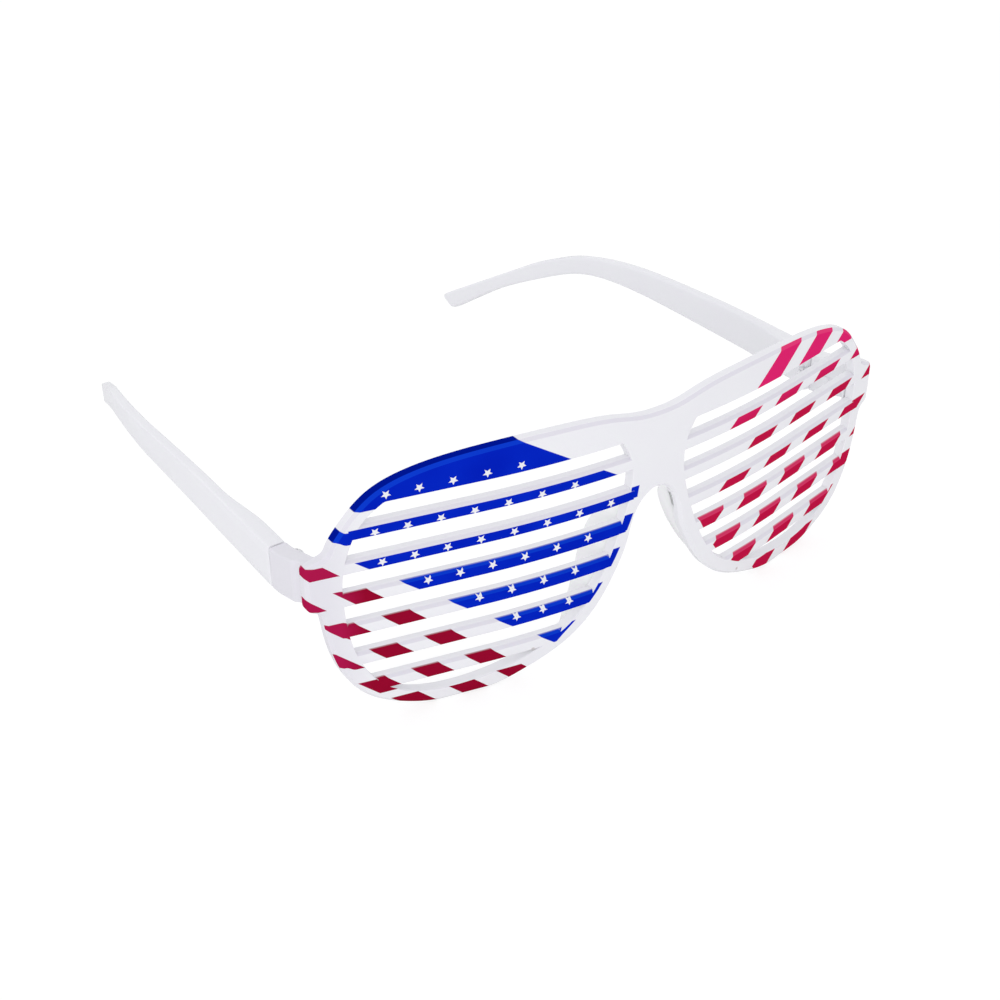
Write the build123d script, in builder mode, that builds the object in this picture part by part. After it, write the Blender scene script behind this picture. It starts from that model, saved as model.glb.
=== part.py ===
"""Slatted novelty glasses: a bent front with a slatted grille in each eye, and two hinged temples.

Frame: +Z up, the front faces -Y, and X runs across the face with the wearer's left at +X.
The open glasses stand at z = 0 on the bottoms of the eye rims and the tips of the temples.
The origin lies on that surface, under the middle of the open glasses. Lengths are millimetres.
"""
import os
from math import acos, asin, atan2, cos, pi, radians, sin, sqrt, tan

from build123d import *

os.makedirs("parts", exist_ok=True)

# Front moulding
front_width = 144.4
front_height = 55.0
plate_thickness = 2.4
bend_radius = 180.0
bend_half_width = 39.0
outer_edge_bevel = 0.6

# Slatted grille of each eye
slat_count = 6
slat_pitch_share = 0.12673
slat_height = 2.75
slat_depth = 2.2
slat_bevel_rise = 0.55
slat_bevel_depth = 0.8
slat_root = 1.2

# End pieces, which turn back from the front and carry the hinges
end_piece_top = 37.4
end_piece_bottom = 28.0
end_piece_thickness = 3.8
end_piece_blend_radius = 1.2
end_piece_inner_radius = 3.0
neck_depth = 0.7
neck_radius = 2.6

# Nose flanges, thin walls behind the inner edges of the eye rims
nose_flange_depth = 10.0
nose_flange_thickness = 1.6
nose_flange_inset = 0.25
nose_flange_splay = 12.0
nose_flange_top = 33.6
nose_flange_bottom = 4.6

# Temples
joint_setback = 26.5
joint_gap = 0.3
temple_length = 135.5
temple_top = 34.5
temple_height = 9.2
temple_thickness = 2.3
temple_taper_length = 16.0
temple_bend_start = 57.0
temple_bend_radius = 170.0
temple_inner_bevel = 0.75
temple_outer_bevel = 0.3
tip_radius = 2.4
tip_top_radius = 1.6

# Hinges
hinge_height = 4.4
hinge_drop = 1.1
middle_barrel_height = 1.6
barrel_gap = 0.08
barrel_radius = 1.5
barrel_sweep_clearance = 0.15
barrel_face_clearance = 0.25
leaf_thickness = 0.9
leaf_length = 6.8
leaf_corner_radius = 0.8
screw_radius = 0.6
screw_clearance = 0.05
screw_head_radius = 1.2
screw_head_height = 0.5
screw_slot_width = 0.35
screw_slot_depth = 0.25
screw_slot_turn = 35.0
anchor_radius = 0.7
anchor_length = 1.3
anchor_clearance = 0.05
anchor_spacing = 3.2

# Length by which a cutting shape passes the material that it cuts
overrun = 5.0

# Outline of the brow, as shares of the front's half width and of its height above the end pieces
brow_shares = (
    (0.0, 0.8594), (0.07, 0.8781), (0.14, 0.9375), (0.29, 0.9969), (0.45, 1.0),
    (0.6, 0.9625), (0.72, 0.8812), (0.82, 0.7125), (0.897, 0.3938), (0.94, 0.0937),
)

# Outline of the cheek, as shares of the front's half width and of the height under the end pieces
cheek_shares = (
    (0.965, 0.9586), (0.952, 0.7071), (0.92, 0.4263), (0.855, 0.1925), (0.76, 0.0589), (0.65, 0.0),
)

# Outlines of the nose side and of the eye, as shares of the front's half width and of its height
nasal_shares = (
    (0.535, 0.0), (0.422, 0.033), (0.284, 0.11), (0.188, 0.222),
    (0.13, 0.345), (0.0925, 0.462), (0.058, 0.597), (0.0, 0.645),
)
eye_top_shares = ((0.127, 0.878), (0.79, 0.878))
eye_side_shares = (
    (0.79, 0.878), (0.845, 0.82), (0.884, 0.73), (0.906, 0.62), (0.908, 0.5), (0.897, 0.36),
    (0.863, 0.225), (0.81, 0.13), (0.73, 0.073), (0.63, 0.054), (0.5, 0.071), (0.386, 0.113),
    (0.262, 0.205), (0.19, 0.327), (0.146, 0.45), (0.11, 0.585), (0.091, 0.71), (0.097, 0.8), (0.127, 0.878),
)

brow_end_slope = (0.3, -1)
cheek_start_slope = (-0.15, -1)

# Back edge of a nose flange, as shares of its depth and of its drop from top to bottom
nose_flange_back_shares = (
    (0.25, 0.0), (0.62, 0.09), (0.9, 0.19), (1.0, 0.28), (1.0, 0.45), (0.83, 0.68), (0.59, 0.86), (0.25, 1.0),
)

# Sides of a temple, as shares of its length back from the joint and of the height of its top
temple_upper_shares = (
    (0.2, 1.0), (0.31, 0.988), (0.43, 0.964), (0.545, 0.924), (0.61, 0.884), (0.665, 0.832), (0.722, 0.745),
    (0.78, 0.632),
)
temple_lower_shares = (
    (0.06, 0.735), (0.31, 0.752), (0.45, 0.755), (0.55, 0.75), (0.61, 0.732), (0.662, 0.688), (0.72, 0.6),
    (0.8, 0.445), (0.884, 0.262),
)
tip_top_shares = (0.985, 0.175)

half_width = front_width / 2
overall_depth = joint_setback + temple_length
front_face_y = -overall_depth / 2
joint_y = front_face_y + joint_setback
tip_y = front_face_y + overall_depth
wing_angle = asin(bend_half_width / bend_radius)
wing_start_y = front_face_y + bend_radius * (1 - cos(wing_angle))
eye_top = front_height * eye_top_shares[0][1]
inner_face_x = half_width - end_piece_thickness
barrel_offset = barrel_radius + barrel_face_clearance
hinge_axis_x = inner_face_x - barrel_offset
hinge_middle_z = temple_top - temple_height / 2 - hinge_drop


def front_face_at(x: float) -> float:
    """Y of the front face at a distance x from the middle of the front."""
    if abs(x) <= bend_half_width:
        return front_face_y + bend_radius - sqrt(bend_radius**2 - x**2)
    return wing_start_y + (abs(x) - bend_half_width) * tan(wing_angle)


def on_front_face(edge: Edge) -> bool:
    """Whether an edge lies in the bent front face."""
    places = [edge @ share for share in (0.0, 0.5, 1.0)]
    return all(abs(place.Y - front_face_at(place.X)) < outer_edge_bevel / 10 for place in places)


def on_front(shares, bottom: float = 0, top: float = front_height) -> list:
    """Points on the front from shares of the half width and of the height between two levels."""
    return [(half_width * across, bottom + (top - bottom) * up) for across, up in shares]


def on_temple(shares) -> list:
    """Points on the side of a temple from shares of its length and of the height of its top."""
    return [(joint_y + temple_length * back, temple_top * up) for back, up in shares]


def beside(points, distance: float) -> list:
    """Points of an outline, each moved to the right by a distance, square to its neighbours."""
    moved = []
    for place, (across, up) in enumerate(points):
        before, after = points[max(place - 1, 0)], points[min(place + 1, len(points) - 1)]
        run, rise = after[0] - before[0], after[1] - before[1]
        length = sqrt(run**2 + rise**2)
        moved.append((across + distance * rise / length, up - distance * run / length))
    return moved


def tangent_angle(centre, radius: float, outside, side: int) -> float:
    """Direction from a circle's centre to where a line from an outside point touches it, on one side."""
    across, up = outside[0] - centre[0], outside[1] - centre[1]
    return atan2(up, across) + side * acos(radius / sqrt(across**2 + up**2))


def on_circle(centre, radius: float, angle: float) -> tuple:
    """Point of a circle in a direction from its centre."""
    return (centre[0] + radius * cos(angle), centre[1] + radius * sin(angle))


def bent_band(depth: float, reach: float):
    """Plan sketch of one half of a band of some depth that follows the front face."""
    near, far = bend_radius, bend_radius - depth
    centre_y = front_face_y + bend_radius
    with BuildSketch(mode=Mode.PRIVATE) as half:
        with BuildLine():
            ends = []
            for radius in (near, far):
                arc_end = (radius * sin(wing_angle), centre_y - radius * cos(wing_angle))
                wing_end = (reach, arc_end[1] + (reach - arc_end[0]) * tan(wing_angle))
                middle = (radius * sin(wing_angle / 2), centre_y - radius * cos(wing_angle / 2))
                ThreePointArc((0, centre_y - radius), middle, arc_end)
                Line(arc_end, wing_end)
                ends.append(wing_end)
            Line(*ends)
            Line((0, centre_y - near), (0, centre_y - far))
        make_face()
    return half.sketch


# The eye openings, as solids that pass through the front
with BuildPart() as eye_openings:
    with BuildSketch(Plane.XZ):
        with BuildLine():
            Line(*on_front(eye_top_shares))
            Spline(*on_front(eye_side_shares))
        make_face()
        mirror(about=Plane.YZ)
    extrude(amount=overall_depth, both=True)

# Where slats may be: the openings and the roots of the slats inside the rims
with BuildPart() as slat_reach:
    with BuildSketch(Plane.XZ):
        with BuildLine():
            Line(*on_front(eye_top_shares))
            Spline(*on_front(eye_side_shares))
        make_face()
        offset(amount=slat_root)
        mirror(about=Plane.YZ)
    extrude(amount=overall_depth, both=True)

# The slats, bands that follow the front face with a bevel along their upper front edges
slat_pitch = front_height * slat_pitch_share
slat_bottoms = [eye_top - number * slat_pitch for number in range(1, slat_count + 1)]
with BuildPart() as slats:
    for slat_bottom in slat_bottoms:
        with BuildSketch(Plane.XY.offset(slat_bottom)):
            add(bent_band(slat_depth, half_width))
            mirror(about=Plane.YZ)
        extrude(amount=slat_height)
    upper_edges = [
        edge for edge in slats.edges().filter_by(on_front_face).filter_by(Axis.Z, reverse=True)
        if any(abs(edge.center().Z - bottom - slat_height) < slat_bevel_rise / 2 for bottom in slat_bottoms)
    ]
    chamfer(upper_edges, length=slat_bevel_rise, length2=slat_bevel_depth)
    add(slat_reach.part, mode=Mode.INTERSECT)

# The end pieces: a plan that turns back from the wing, cut to the profile of their side
lug_back_y = joint_y - joint_gap / 2
with BuildPart() as end_pieces:
    with BuildSketch(Plane.XY):
        with BuildLine():
            root_x = inner_face_x - end_piece_inner_radius - plate_thickness
            slant_thickness = plate_thickness / cos(wing_angle)
            corner_y = front_face_at(inner_face_x) + slant_thickness
            Polyline(
                (root_x, front_face_at(root_x) + slant_thickness / 2),
                (half_width, front_face_at(half_width) + slant_thickness / 2),
                (half_width, lug_back_y),
                (inner_face_x, lug_back_y),
                (inner_face_x, corner_y),
                (root_x, front_face_at(root_x) + slant_thickness),
                close=True,
            )
        make_face()
        fillet(vertices().sort_by_distance((inner_face_x, corner_y, 0))[0], radius=end_piece_inner_radius)
        neck_y = front_face_at(half_width) + slant_thickness + neck_radius / 2
        with Locations((half_width + neck_radius - neck_depth, neck_y)):
            Circle(neck_radius, mode=Mode.SUBTRACT)
        mirror(about=Plane.YZ)
    extrude(amount=front_height)
    with BuildSketch(Plane.YZ):
        with BuildLine():
            wing_tip_y = front_face_at(half_width) + slant_thickness / 2
            Polyline(
                (wing_tip_y, end_piece_bottom), (front_face_y, end_piece_bottom),
                (front_face_y, end_piece_top), (wing_tip_y, end_piece_top),
            )
            level = (1, 0)
            Spline((wing_tip_y, end_piece_top), (lug_back_y, temple_top), tangents=(level, level))
            Line((lug_back_y, temple_top), (lug_back_y, temple_top - temple_height))
            Spline(
                (wing_tip_y, end_piece_bottom), (lug_back_y, temple_top - temple_height),
                tangents=(level, level),
            )
        make_face()
    extrude(amount=front_width, both=True, mode=Mode.INTERSECT)

# The nose flanges, splayed away from the nose as they go back, with a curved back edge
flange_root_y = front_face_y + plate_thickness * 3 / 4
flange_drop = nose_flange_top - nose_flange_bottom
with BuildPart() as nose_flanges:
    with BuildSketch(Plane.XZ.offset(-flange_root_y)):
        with BuildLine():
            nose_side = beside(on_front(nasal_shares[1:-1]), nose_flange_inset)
            eye_side = beside(on_front(nasal_shares[1:-1]), nose_flange_inset + nose_flange_thickness)
            Spline(*nose_side)
            Line(nose_side[-1], eye_side[-1])
            Spline(*eye_side)
            Line(eye_side[0], nose_side[0])
        make_face()
    splay = radians(nose_flange_splay)
    extrude(amount=nose_flange_depth + overrun, dir=(sin(splay), cos(splay), 0))
    with BuildSketch(Plane.YZ):
        with BuildLine():
            back_edge = [
                (front_face_y + nose_flange_depth * back, nose_flange_top - flange_drop * down)
                for back, down in nose_flange_back_shares
            ]
            Spline(*back_edge)
            Polyline(
                back_edge[0], (front_face_y, nose_flange_top),
                (front_face_y, nose_flange_bottom), back_edge[-1],
            )
        make_face()
    extrude(amount=front_width, mode=Mode.INTERSECT)
    mirror(about=Plane.YZ)

# The hinge anchors' pockets in the left end piece and in the left temple, and their mirror images
front_anchor_y = joint_y - leaf_length / 2
temple_anchor_y = joint_y + leaf_length / 2
with BuildPart() as anchor_pockets:
    with BuildSketch(Plane.YZ.offset(inner_face_x)):
        for anchor_y in (front_anchor_y, temple_anchor_y):
            with Locations((anchor_y, hinge_middle_z)):
                with GridLocations(anchor_spacing, 0, 2, 1):
                    Circle(anchor_radius + anchor_clearance)
    extrude(amount=anchor_length + anchor_clearance)
    mirror(about=Plane.YZ)

# The front moulding
with BuildPart() as front_frame:
    with BuildSketch(Plane.XY.offset(-overrun)):
        add(bent_band(plate_thickness, half_width + overrun))
        mirror(about=Plane.YZ)
    extrude(amount=front_height + overrun * 2)
    with BuildSketch(Plane.XZ):
        with BuildLine():
            brow_places = on_front(brow_shares, bottom=end_piece_top)
            cheek_places = on_front(cheek_shares, top=end_piece_bottom)
            end_corners = ((half_width, end_piece_top), (half_width, end_piece_bottom))
            brow = Spline(*brow_places, tangents=((1, 0), brow_end_slope))
            Polyline(brow_places[-1], *end_corners, cheek_places[0])
            Spline(*cheek_places, tangents=(cheek_start_slope, (-1, 0)))
            Line(cheek_places[-1], on_front(nasal_shares)[0])
            Spline(*on_front(nasal_shares), tangents=((-1, 0), (-1, 0)))
            Line(on_front(nasal_shares)[-1], brow_places[0])
        make_face()
        beside_end_piece = vertices().filter_by(lambda corner: corner.X > (brow @ 1).X - outer_edge_bevel)
        fillet(beside_end_piece, radius=end_piece_blend_radius)
        mirror(about=Plane.YZ)
    extrude(amount=overall_depth, both=True, mode=Mode.INTERSECT)
    outline_edges = front_frame.edges().filter_by(on_front_face).filter_by(Axis.Z, reverse=True)
    chamfer(outline_edges, length=outer_edge_bevel)
    add(eye_openings.part, mode=Mode.SUBTRACT)
    add([slats.part, end_pieces.part, nose_flanges.part])
    add(anchor_pockets.part, mode=Mode.SUBTRACT)
front_frame.part.label = "front_frame"
export_step(front_frame.part, "parts/front_frame.step")

# The left temple: its plan, thick at the joint and bent in behind, cut to its hooked side
temple_front_y = joint_y + joint_gap / 2
bend_start_y = joint_y + temple_bend_start
bend_centre = (half_width - temple_bend_radius, bend_start_y)
bend_end_angle = asin((tip_y + overrun - bend_start_y) / temple_bend_radius)
with BuildPart() as left_temple:
    with BuildSketch(Plane.XY):
        with BuildLine():
            taper_start_y = joint_y + leaf_length + leaf_corner_radius
            thin_x = half_width - temple_thickness
            Line((half_width, temple_front_y), (half_width, bend_start_y))
            arc_ends = []
            for radius in (temple_bend_radius, temple_bend_radius - temple_thickness):
                arc_ends.append(on_circle(bend_centre, radius, bend_end_angle))
                ThreePointArc(
                    on_circle(bend_centre, radius, 0),
                    on_circle(bend_centre, radius, bend_end_angle / 2),
                    arc_ends[-1],
                )
            Line(*arc_ends)
            Line((thin_x, bend_start_y), (thin_x, taper_start_y + temple_taper_length))
            Spline(
                (thin_x, taper_start_y + temple_taper_length), (inner_face_x, taper_start_y),
                tangents=((0, -1), (0, -1)),
            )
            Line((inner_face_x, taper_start_y), (inner_face_x, temple_front_y))
            Line((inner_face_x, temple_front_y), (half_width, temple_front_y))
        make_face()
    extrude(amount=front_height)
    with BuildSketch(Plane.YZ):
        with BuildLine():
            upper = on_temple(temple_upper_shares)
            lower = on_temple(temple_lower_shares)
            tip_top = on_temple([tip_top_shares])[0]
            tip_centre = (tip_y - tip_radius, tip_radius)
            back_angle = tangent_angle(tip_centre, tip_radius, tip_top, -1)
            under_angle = tangent_angle(tip_centre, tip_radius, lower[-1], 1) - 2 * pi
            tip_back = on_circle(tip_centre, tip_radius, back_angle)
            tip_under = on_circle(tip_centre, tip_radius, under_angle)
            Line((temple_front_y, temple_top), upper[0])
            Spline(*upper, tangents=((1, 0), (tip_top[0] - upper[-1][0], tip_top[1] - upper[-1][1])))
            Polyline(upper[-1], tip_top, tip_back)
            ThreePointArc(
                tip_back, on_circle(tip_centre, tip_radius, (back_angle + under_angle) / 2), tip_under
            )
            Line(tip_under, lower[-1])
            Spline(
                (temple_front_y, temple_top - temple_height), *lower,
                tangents=((1, 0), (tip_under[0] - lower[-1][0], tip_under[1] - lower[-1][1])),
            )
            Line((temple_front_y, temple_top - temple_height), (temple_front_y, temple_top))
        make_face()
        fillet(vertices().sort_by_distance((*tip_top, 0))[0], radius=tip_top_radius)
    extrude(amount=front_width, mode=Mode.INTERSECT)
    outer_faces = left_temple.faces().filter_by(lambda face: face.normal_at().X > sin(pi / 4))
    inner_faces = left_temple.faces().filter_by(lambda face: face.normal_at().X < -sin(pi / 4))
    chamfer(inner_faces.edges().filter_by(Axis.Z, reverse=True), length=temple_inner_bevel)
    chamfer(outer_faces.edges().filter_by(Axis.Z, reverse=True), length=temple_outer_bevel)
    add(anchor_pockets.part, mode=Mode.SUBTRACT)

# The left hinge's front leaf: a plate on the end piece with the upper and lower barrels
hinge_bottom = hinge_middle_z - hinge_height / 2
leaf_x = inner_face_x - leaf_thickness
middle_reach = middle_barrel_height / 2 + barrel_gap
sweep_radius = barrel_radius + barrel_sweep_clearance
hinge_axis = (hinge_axis_x, joint_y)
with BuildPart() as left_front_hinge_leaf:
    with BuildSketch(Plane.YZ.offset(leaf_x)):
        with Locations((front_anchor_y - joint_gap / 4, hinge_middle_z)):
            Rectangle(leaf_length - joint_gap / 2, hinge_height)
        fillet(vertices().group_by(Axis.X)[0], radius=leaf_corner_radius)
    extrude(amount=leaf_thickness)
    with BuildSketch(Plane.YZ.offset(inner_face_x)):
        with Locations((front_anchor_y, hinge_middle_z)):
            with GridLocations(anchor_spacing, 0, 2, 1):
                Circle(anchor_radius)
    extrude(amount=anchor_length)
    with BuildSketch(Plane.XY.offset(hinge_middle_z)):
        with Locations(hinge_axis):
            Circle(sweep_radius)
    extrude(amount=middle_reach, both=True, mode=Mode.SUBTRACT)
    for direction in (1, -1):
        with BuildSketch(Plane.XY.offset(hinge_middle_z + direction * middle_reach)):
            with Locations(hinge_axis):
                Circle(barrel_radius)
        extrude(amount=direction * (hinge_height / 2 - middle_reach))
    with BuildSketch(Plane.XY.offset(hinge_bottom - overrun)):
        with Locations(hinge_axis):
            Circle(screw_radius + screw_clearance)
    extrude(amount=hinge_height + overrun * 2, mode=Mode.SUBTRACT)

# The left hinge's temple leaf: a plate on the temple with the middle barrel
with BuildPart() as left_temple_hinge_leaf:
    with BuildSketch(Plane.YZ.offset(leaf_x)):
        with Locations((temple_anchor_y + joint_gap / 4, hinge_middle_z)):
            Rectangle(leaf_length - joint_gap / 2, hinge_height)
        fillet(vertices().group_by(Axis.X)[-1], radius=leaf_corner_radius)
    extrude(amount=leaf_thickness)
    with BuildSketch(Plane.YZ.offset(inner_face_x)):
        with Locations((temple_anchor_y, hinge_middle_z)):
            with GridLocations(anchor_spacing, 0, 2, 1):
                Circle(anchor_radius)
    extrude(amount=anchor_length)
    for direction in (1, -1):
        with BuildSketch(Plane.XY.offset(hinge_middle_z + direction * middle_barrel_height / 2)):
            with Locations(hinge_axis):
                Circle(sweep_radius)
        extrude(amount=direction * hinge_height, mode=Mode.SUBTRACT)
    with BuildSketch(Plane.XY.offset(hinge_middle_z)):
        with Locations(hinge_axis):
            Circle(barrel_radius)
    extrude(amount=middle_barrel_height / 2, both=True)
    with BuildSketch(Plane.XY.offset(hinge_bottom - overrun)):
        with Locations(hinge_axis):
            Circle(screw_radius + screw_clearance)
    extrude(amount=hinge_height + overrun * 2, mode=Mode.SUBTRACT)

# The left hinge's screw, with a slotted head on the upper barrel
with BuildPart() as left_hinge_screw:
    with BuildSketch(Plane.XY.offset(hinge_bottom)):
        with Locations(hinge_axis):
            Circle(screw_radius)
    extrude(amount=hinge_height)
    with BuildSketch(Plane.XY.offset(hinge_bottom + hinge_height)):
        with Locations(hinge_axis):
            Circle(screw_head_radius)
    extrude(amount=screw_head_height)
    head_rim = left_hinge_screw.edges().filter_by(GeomType.CIRCLE).sort_by(Axis.Z)[-1]
    chamfer(head_rim, length=screw_head_height / 3)
    with BuildSketch(Plane.XY.offset(hinge_bottom + hinge_height + screw_head_height)):
        with Locations(hinge_axis):
            Rectangle(screw_head_radius * 3, screw_slot_width, rotation=screw_slot_turn)
    extrude(amount=-screw_slot_depth, mode=Mode.SUBTRACT)

# The pieces of the right side, mirror images of the left ones
left_pieces = {
    "temple": left_temple.part,
    "front_hinge_leaf": left_front_hinge_leaf.part,
    "temple_hinge_leaf": left_temple_hinge_leaf.part,
    "hinge_screw": left_hinge_screw.part,
}
for piece_name, left_piece in left_pieces.items():
    with BuildPart() as right_piece:
        mirror(left_piece, about=Plane.YZ)
    for side, piece in (("left", left_piece), ("right", right_piece.part)):
        piece.label = f"{side}_{piece_name}"
        export_step(piece, f"parts/{piece.label}.step")
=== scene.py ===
"""Slatted novelty glasses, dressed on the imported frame: moulded white plastic with a printed front.

The front, the temples and the stars are laid out flat in millimetres and bent into their places by
Geometry Nodes trees, which also turn millimetres into metres. The screws come from such a tree too,
the end pieces and nose flanges are lofted onto the front, and the hinge leaves are the frame's own.
X runs across the face with the wearer's left at +X, the front faces -Y, and +Z is up.
"""

import logging
from dataclasses import dataclass
from enum import Enum
from functools import reduce
from math import asin, cos, pi, radians, sin, sqrt, tan
from typing import Sequence

import bmesh
import bpy
import numpy as np
from mathutils import Matrix, Vector, geometry


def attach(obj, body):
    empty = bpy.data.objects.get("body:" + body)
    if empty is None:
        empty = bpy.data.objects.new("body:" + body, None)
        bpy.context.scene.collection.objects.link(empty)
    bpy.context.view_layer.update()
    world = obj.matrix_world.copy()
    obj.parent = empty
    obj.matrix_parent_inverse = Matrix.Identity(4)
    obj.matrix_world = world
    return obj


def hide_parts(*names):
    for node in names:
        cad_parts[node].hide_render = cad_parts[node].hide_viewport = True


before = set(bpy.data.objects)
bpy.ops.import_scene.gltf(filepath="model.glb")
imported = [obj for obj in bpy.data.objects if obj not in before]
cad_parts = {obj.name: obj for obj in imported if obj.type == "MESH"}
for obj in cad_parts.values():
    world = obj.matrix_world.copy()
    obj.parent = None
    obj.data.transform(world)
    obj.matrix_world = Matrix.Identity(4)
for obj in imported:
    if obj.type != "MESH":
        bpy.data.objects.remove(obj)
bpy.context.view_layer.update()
log = logging.getLogger("slatted_glasses")
MM = 0.001
SAME_PLACE = 0.004
FEWEST_STEPS = 4
EASED_REACH = 1.2
EASED_POINTS = 7
LEAST_MITRE = 0.5
CLEAR_OF_EDGE = 0.45
MERGE_DISTANCE = 1e-6
LEVEL_RISE = 1e-12
LOFT_CREASE = radians(35)
SPOT_CORE = 0.6
SPOT_BLEND = 0.8

Point = tuple[float, float]
Span = tuple[float, float]
Place = tuple[float, float, float]
Outline = np.ndarray
Socket = bpy.types.NodeSocket


class Body(Enum):
    """The bodies of the frame that a piece can ride on."""

    FRONT = "front"
    LEFT = "left_side"
    RIGHT = "right_side"


class Slot(Enum):
    """The record's material slots that a piece takes its finish from."""

    PLASTIC = "white_plastic"
    SCREW = "screw_steel"


class Side(Enum):
    """A side of the wearer's face, with the sign of its X."""

    LEFT = 1
    RIGHT = -1

    @property
    def word(self) -> str:
        """The side's name in lower case."""
        return self.name.lower()


def new_object(name: str, data: bpy.types.ID) -> bpy.types.Object:
    """Makes an object and puts it into the scene.

    Args:
        name: The object's name.
        data: Its mesh, lamp or camera.

    Returns:
        The object, at the origin.
    """
    made = bpy.data.objects.new(name, data)
    bpy.context.scene.collection.objects.link(made)
    return made


def loose_points(
    name: str, places: Sequence[Sequence[float]], label: str = "", values: Sequence[float] = ()
) -> bpy.types.Object:
    """Makes an object of points that a tree puts something on.

    Args:
        name: The object's name.
        places: The points.
        label: The name of an attribute of the points, or nothing for none.
        values: The attribute's value at each point.

    Returns:
        The object.
    """
    mesh = bpy.data.meshes.new(name)
    mesh.from_pydata(places, [], [])
    if label:
        mesh.attributes.new(label, "FLOAT", "POINT").data.foreach_set("value", values)
    return new_object(name, mesh)


def smooth_through(
    points: Sequence[Point], step: float, start: Point | None = None, end: Point | None = None
) -> Outline:
    """Samples the smooth curve through some points.

    Args:
        points: The points that the curve passes through.
        step: The distance between two samples.
        start: The curve's direction at its start, or None where it runs out straight.
        end: The curve's direction at its end, or None where it runs out straight.

    Returns:
        The samples, one row each, with both ends among them.
    """
    places = np.array(points, float)
    spans = np.linalg.norm(np.diff(places, axis=0), axis=1)
    count = len(places)
    system, target = np.zeros((count, count)), np.zeros((count, 2))
    slopes = np.diff(places, axis=0) / spans[:, None]
    for place in range(1, count - 1):
        system[place, place - 1:place + 2] = (
            spans[place - 1], 2 * (spans[place - 1] + spans[place]), spans[place],
        )
        target[place] = 6 * (slopes[place] - slopes[place - 1])
    for row, direction, slope, span, near in (
        (0, start, slopes[0], spans[0], 1), (-1, end, slopes[-1], spans[-1], -2)
    ):
        if direction is None:
            system[row, row] = 1
        else:
            unit = np.array(direction) / np.linalg.norm(direction)
            system[row, row], system[row, near] = 2 * span, span
            target[row] = 6 * (slope - unit if row == 0 else unit - slope)
    curving = np.linalg.solve(system, target)
    knots = np.concatenate(([0], np.cumsum(spans)))
    samples = np.linspace(0, knots[-1], max(int(knots[-1] / step), FEWEST_STEPS) + 1)
    cell = np.clip(np.searchsorted(knots, samples, "right") - 1, 0, count - 2)
    span = spans[cell][:, None]
    after, before = (samples - knots[cell])[:, None], (knots[cell + 1] - samples)[:, None]
    return (
        curving[cell] * before**3 / (6 * span) + curving[cell + 1] * after**3 / (6 * span)
        + (places[cell] / span - curving[cell] * span / 6) * before
        + (places[cell + 1] / span - curving[cell + 1] * span / 6) * after
    )


def straight(start: Point, end: Point, step: float) -> Outline:
    """Samples a straight line, with both ends, about a step apart."""
    length = float(np.hypot(end[0] - start[0], end[1] - start[1]))
    return np.linspace(start, end, max(int(length / step), 1) + 1)


def joined(*runs: Outline) -> Outline:
    """Strings runs of points into one closed outline without its repeated points.

    Args:
        runs: The runs of points, in their order.

    Returns:
        The outline.
    """
    points = np.concatenate(runs)
    keep = np.linalg.norm(points - np.roll(points, 1, axis=0), axis=1) > SAME_PLACE
    return points[keep]


def mirrored(half: Outline) -> Outline:
    """Closes a half outline, which starts and ends on the middle line, with its mirror image."""
    other = half[::-1] * (-1, 1)
    return joined(half, other)


def eased(outline: Outline, corner: Point, radius: float) -> Outline:
    """Rounds the corner of a closed outline.

    Args:
        outline: The closed outline.
        corner: Where the corner is, near enough to find the outline's nearest point.
        radius: How far from the corner the rounding starts.

    Returns:
        The outline with the corner's points replaced by a smooth turn.
    """
    middle = int(np.argmin(np.linalg.norm(outline - corner, axis=1)))
    turned = np.roll(outline, len(outline) // 2 - middle, axis=0)
    middle = len(outline) // 2
    away = np.linalg.norm(turned - turned[middle], axis=1)
    first, last = middle, middle
    while away[first] < radius * EASED_REACH:
        first -= 1
    while away[last] < radius * EASED_REACH:
        last += 1
    share = np.linspace(0, 1, EASED_POINTS)[:, None]
    tip = turned[middle]
    near = tip + (turned[first] - tip) * radius / away[first]
    far = tip + (turned[last] - tip) * radius / away[last]
    turn = near * (1 - share) ** 2 + tip * 2 * share * (1 - share) + far * share**2
    return joined(turned[:first + 1], turn, turned[last:])


def area_of(outline: Outline) -> float:
    """The signed area of a closed outline, positive where it runs anticlockwise."""
    after = np.roll(outline, -1, axis=0)
    return float(np.sum(outline[:, 0] * after[:, 1] - after[:, 0] * outline[:, 1]) / 2)


def inset(outline: Outline, distance: float) -> Outline:
    """Moves each point of an anticlockwise outline inwards, square to its neighbours.

    Args:
        outline: The closed outline.
        distance: How far its sides move.

    Returns:
        The smaller outline, with as many points.
    """
    before, after = np.roll(outline, 1, axis=0), np.roll(outline, -1, axis=0)
    first, second = outline - before, after - outline
    first /= np.linalg.norm(first, axis=1)[:, None]
    second /= np.linalg.norm(second, axis=1)[:, None]
    inward = np.stack((-(first + second)[:, 1], (first + second)[:, 0]), axis=1)
    inward /= np.linalg.norm(inward, axis=1)[:, None]
    square = np.stack((-first[:, 1], first[:, 0]), axis=1)
    mitre = np.clip(np.sum(inward * square, axis=1), LEAST_MITRE, 1)
    return outline + inward * (distance / mitre)[:, None]


def inside(places: Outline, outline: Outline) -> np.ndarray:
    """Tells which places lie inside a closed outline.

    Args:
        places: The places, one row each.
        outline: The closed outline.

    Returns:
        True or False for each place.
    """
    after = np.roll(outline, -1, axis=0)
    across, up = places[:, 0:1], places[:, 1:2]
    crosses = (outline[None, :, 1] > up) != (after[None, :, 1] > up)
    rise = after[:, 1] - outline[:, 1]
    rise = np.where(rise == 0, LEVEL_RISE, rise)
    meets = outline[:, 0] + (up - outline[:, 1]) * (after[:, 0] - outline[:, 0]) / rise
    return (np.sum(crosses & (across < meets), axis=1) % 2).astype(bool)


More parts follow.
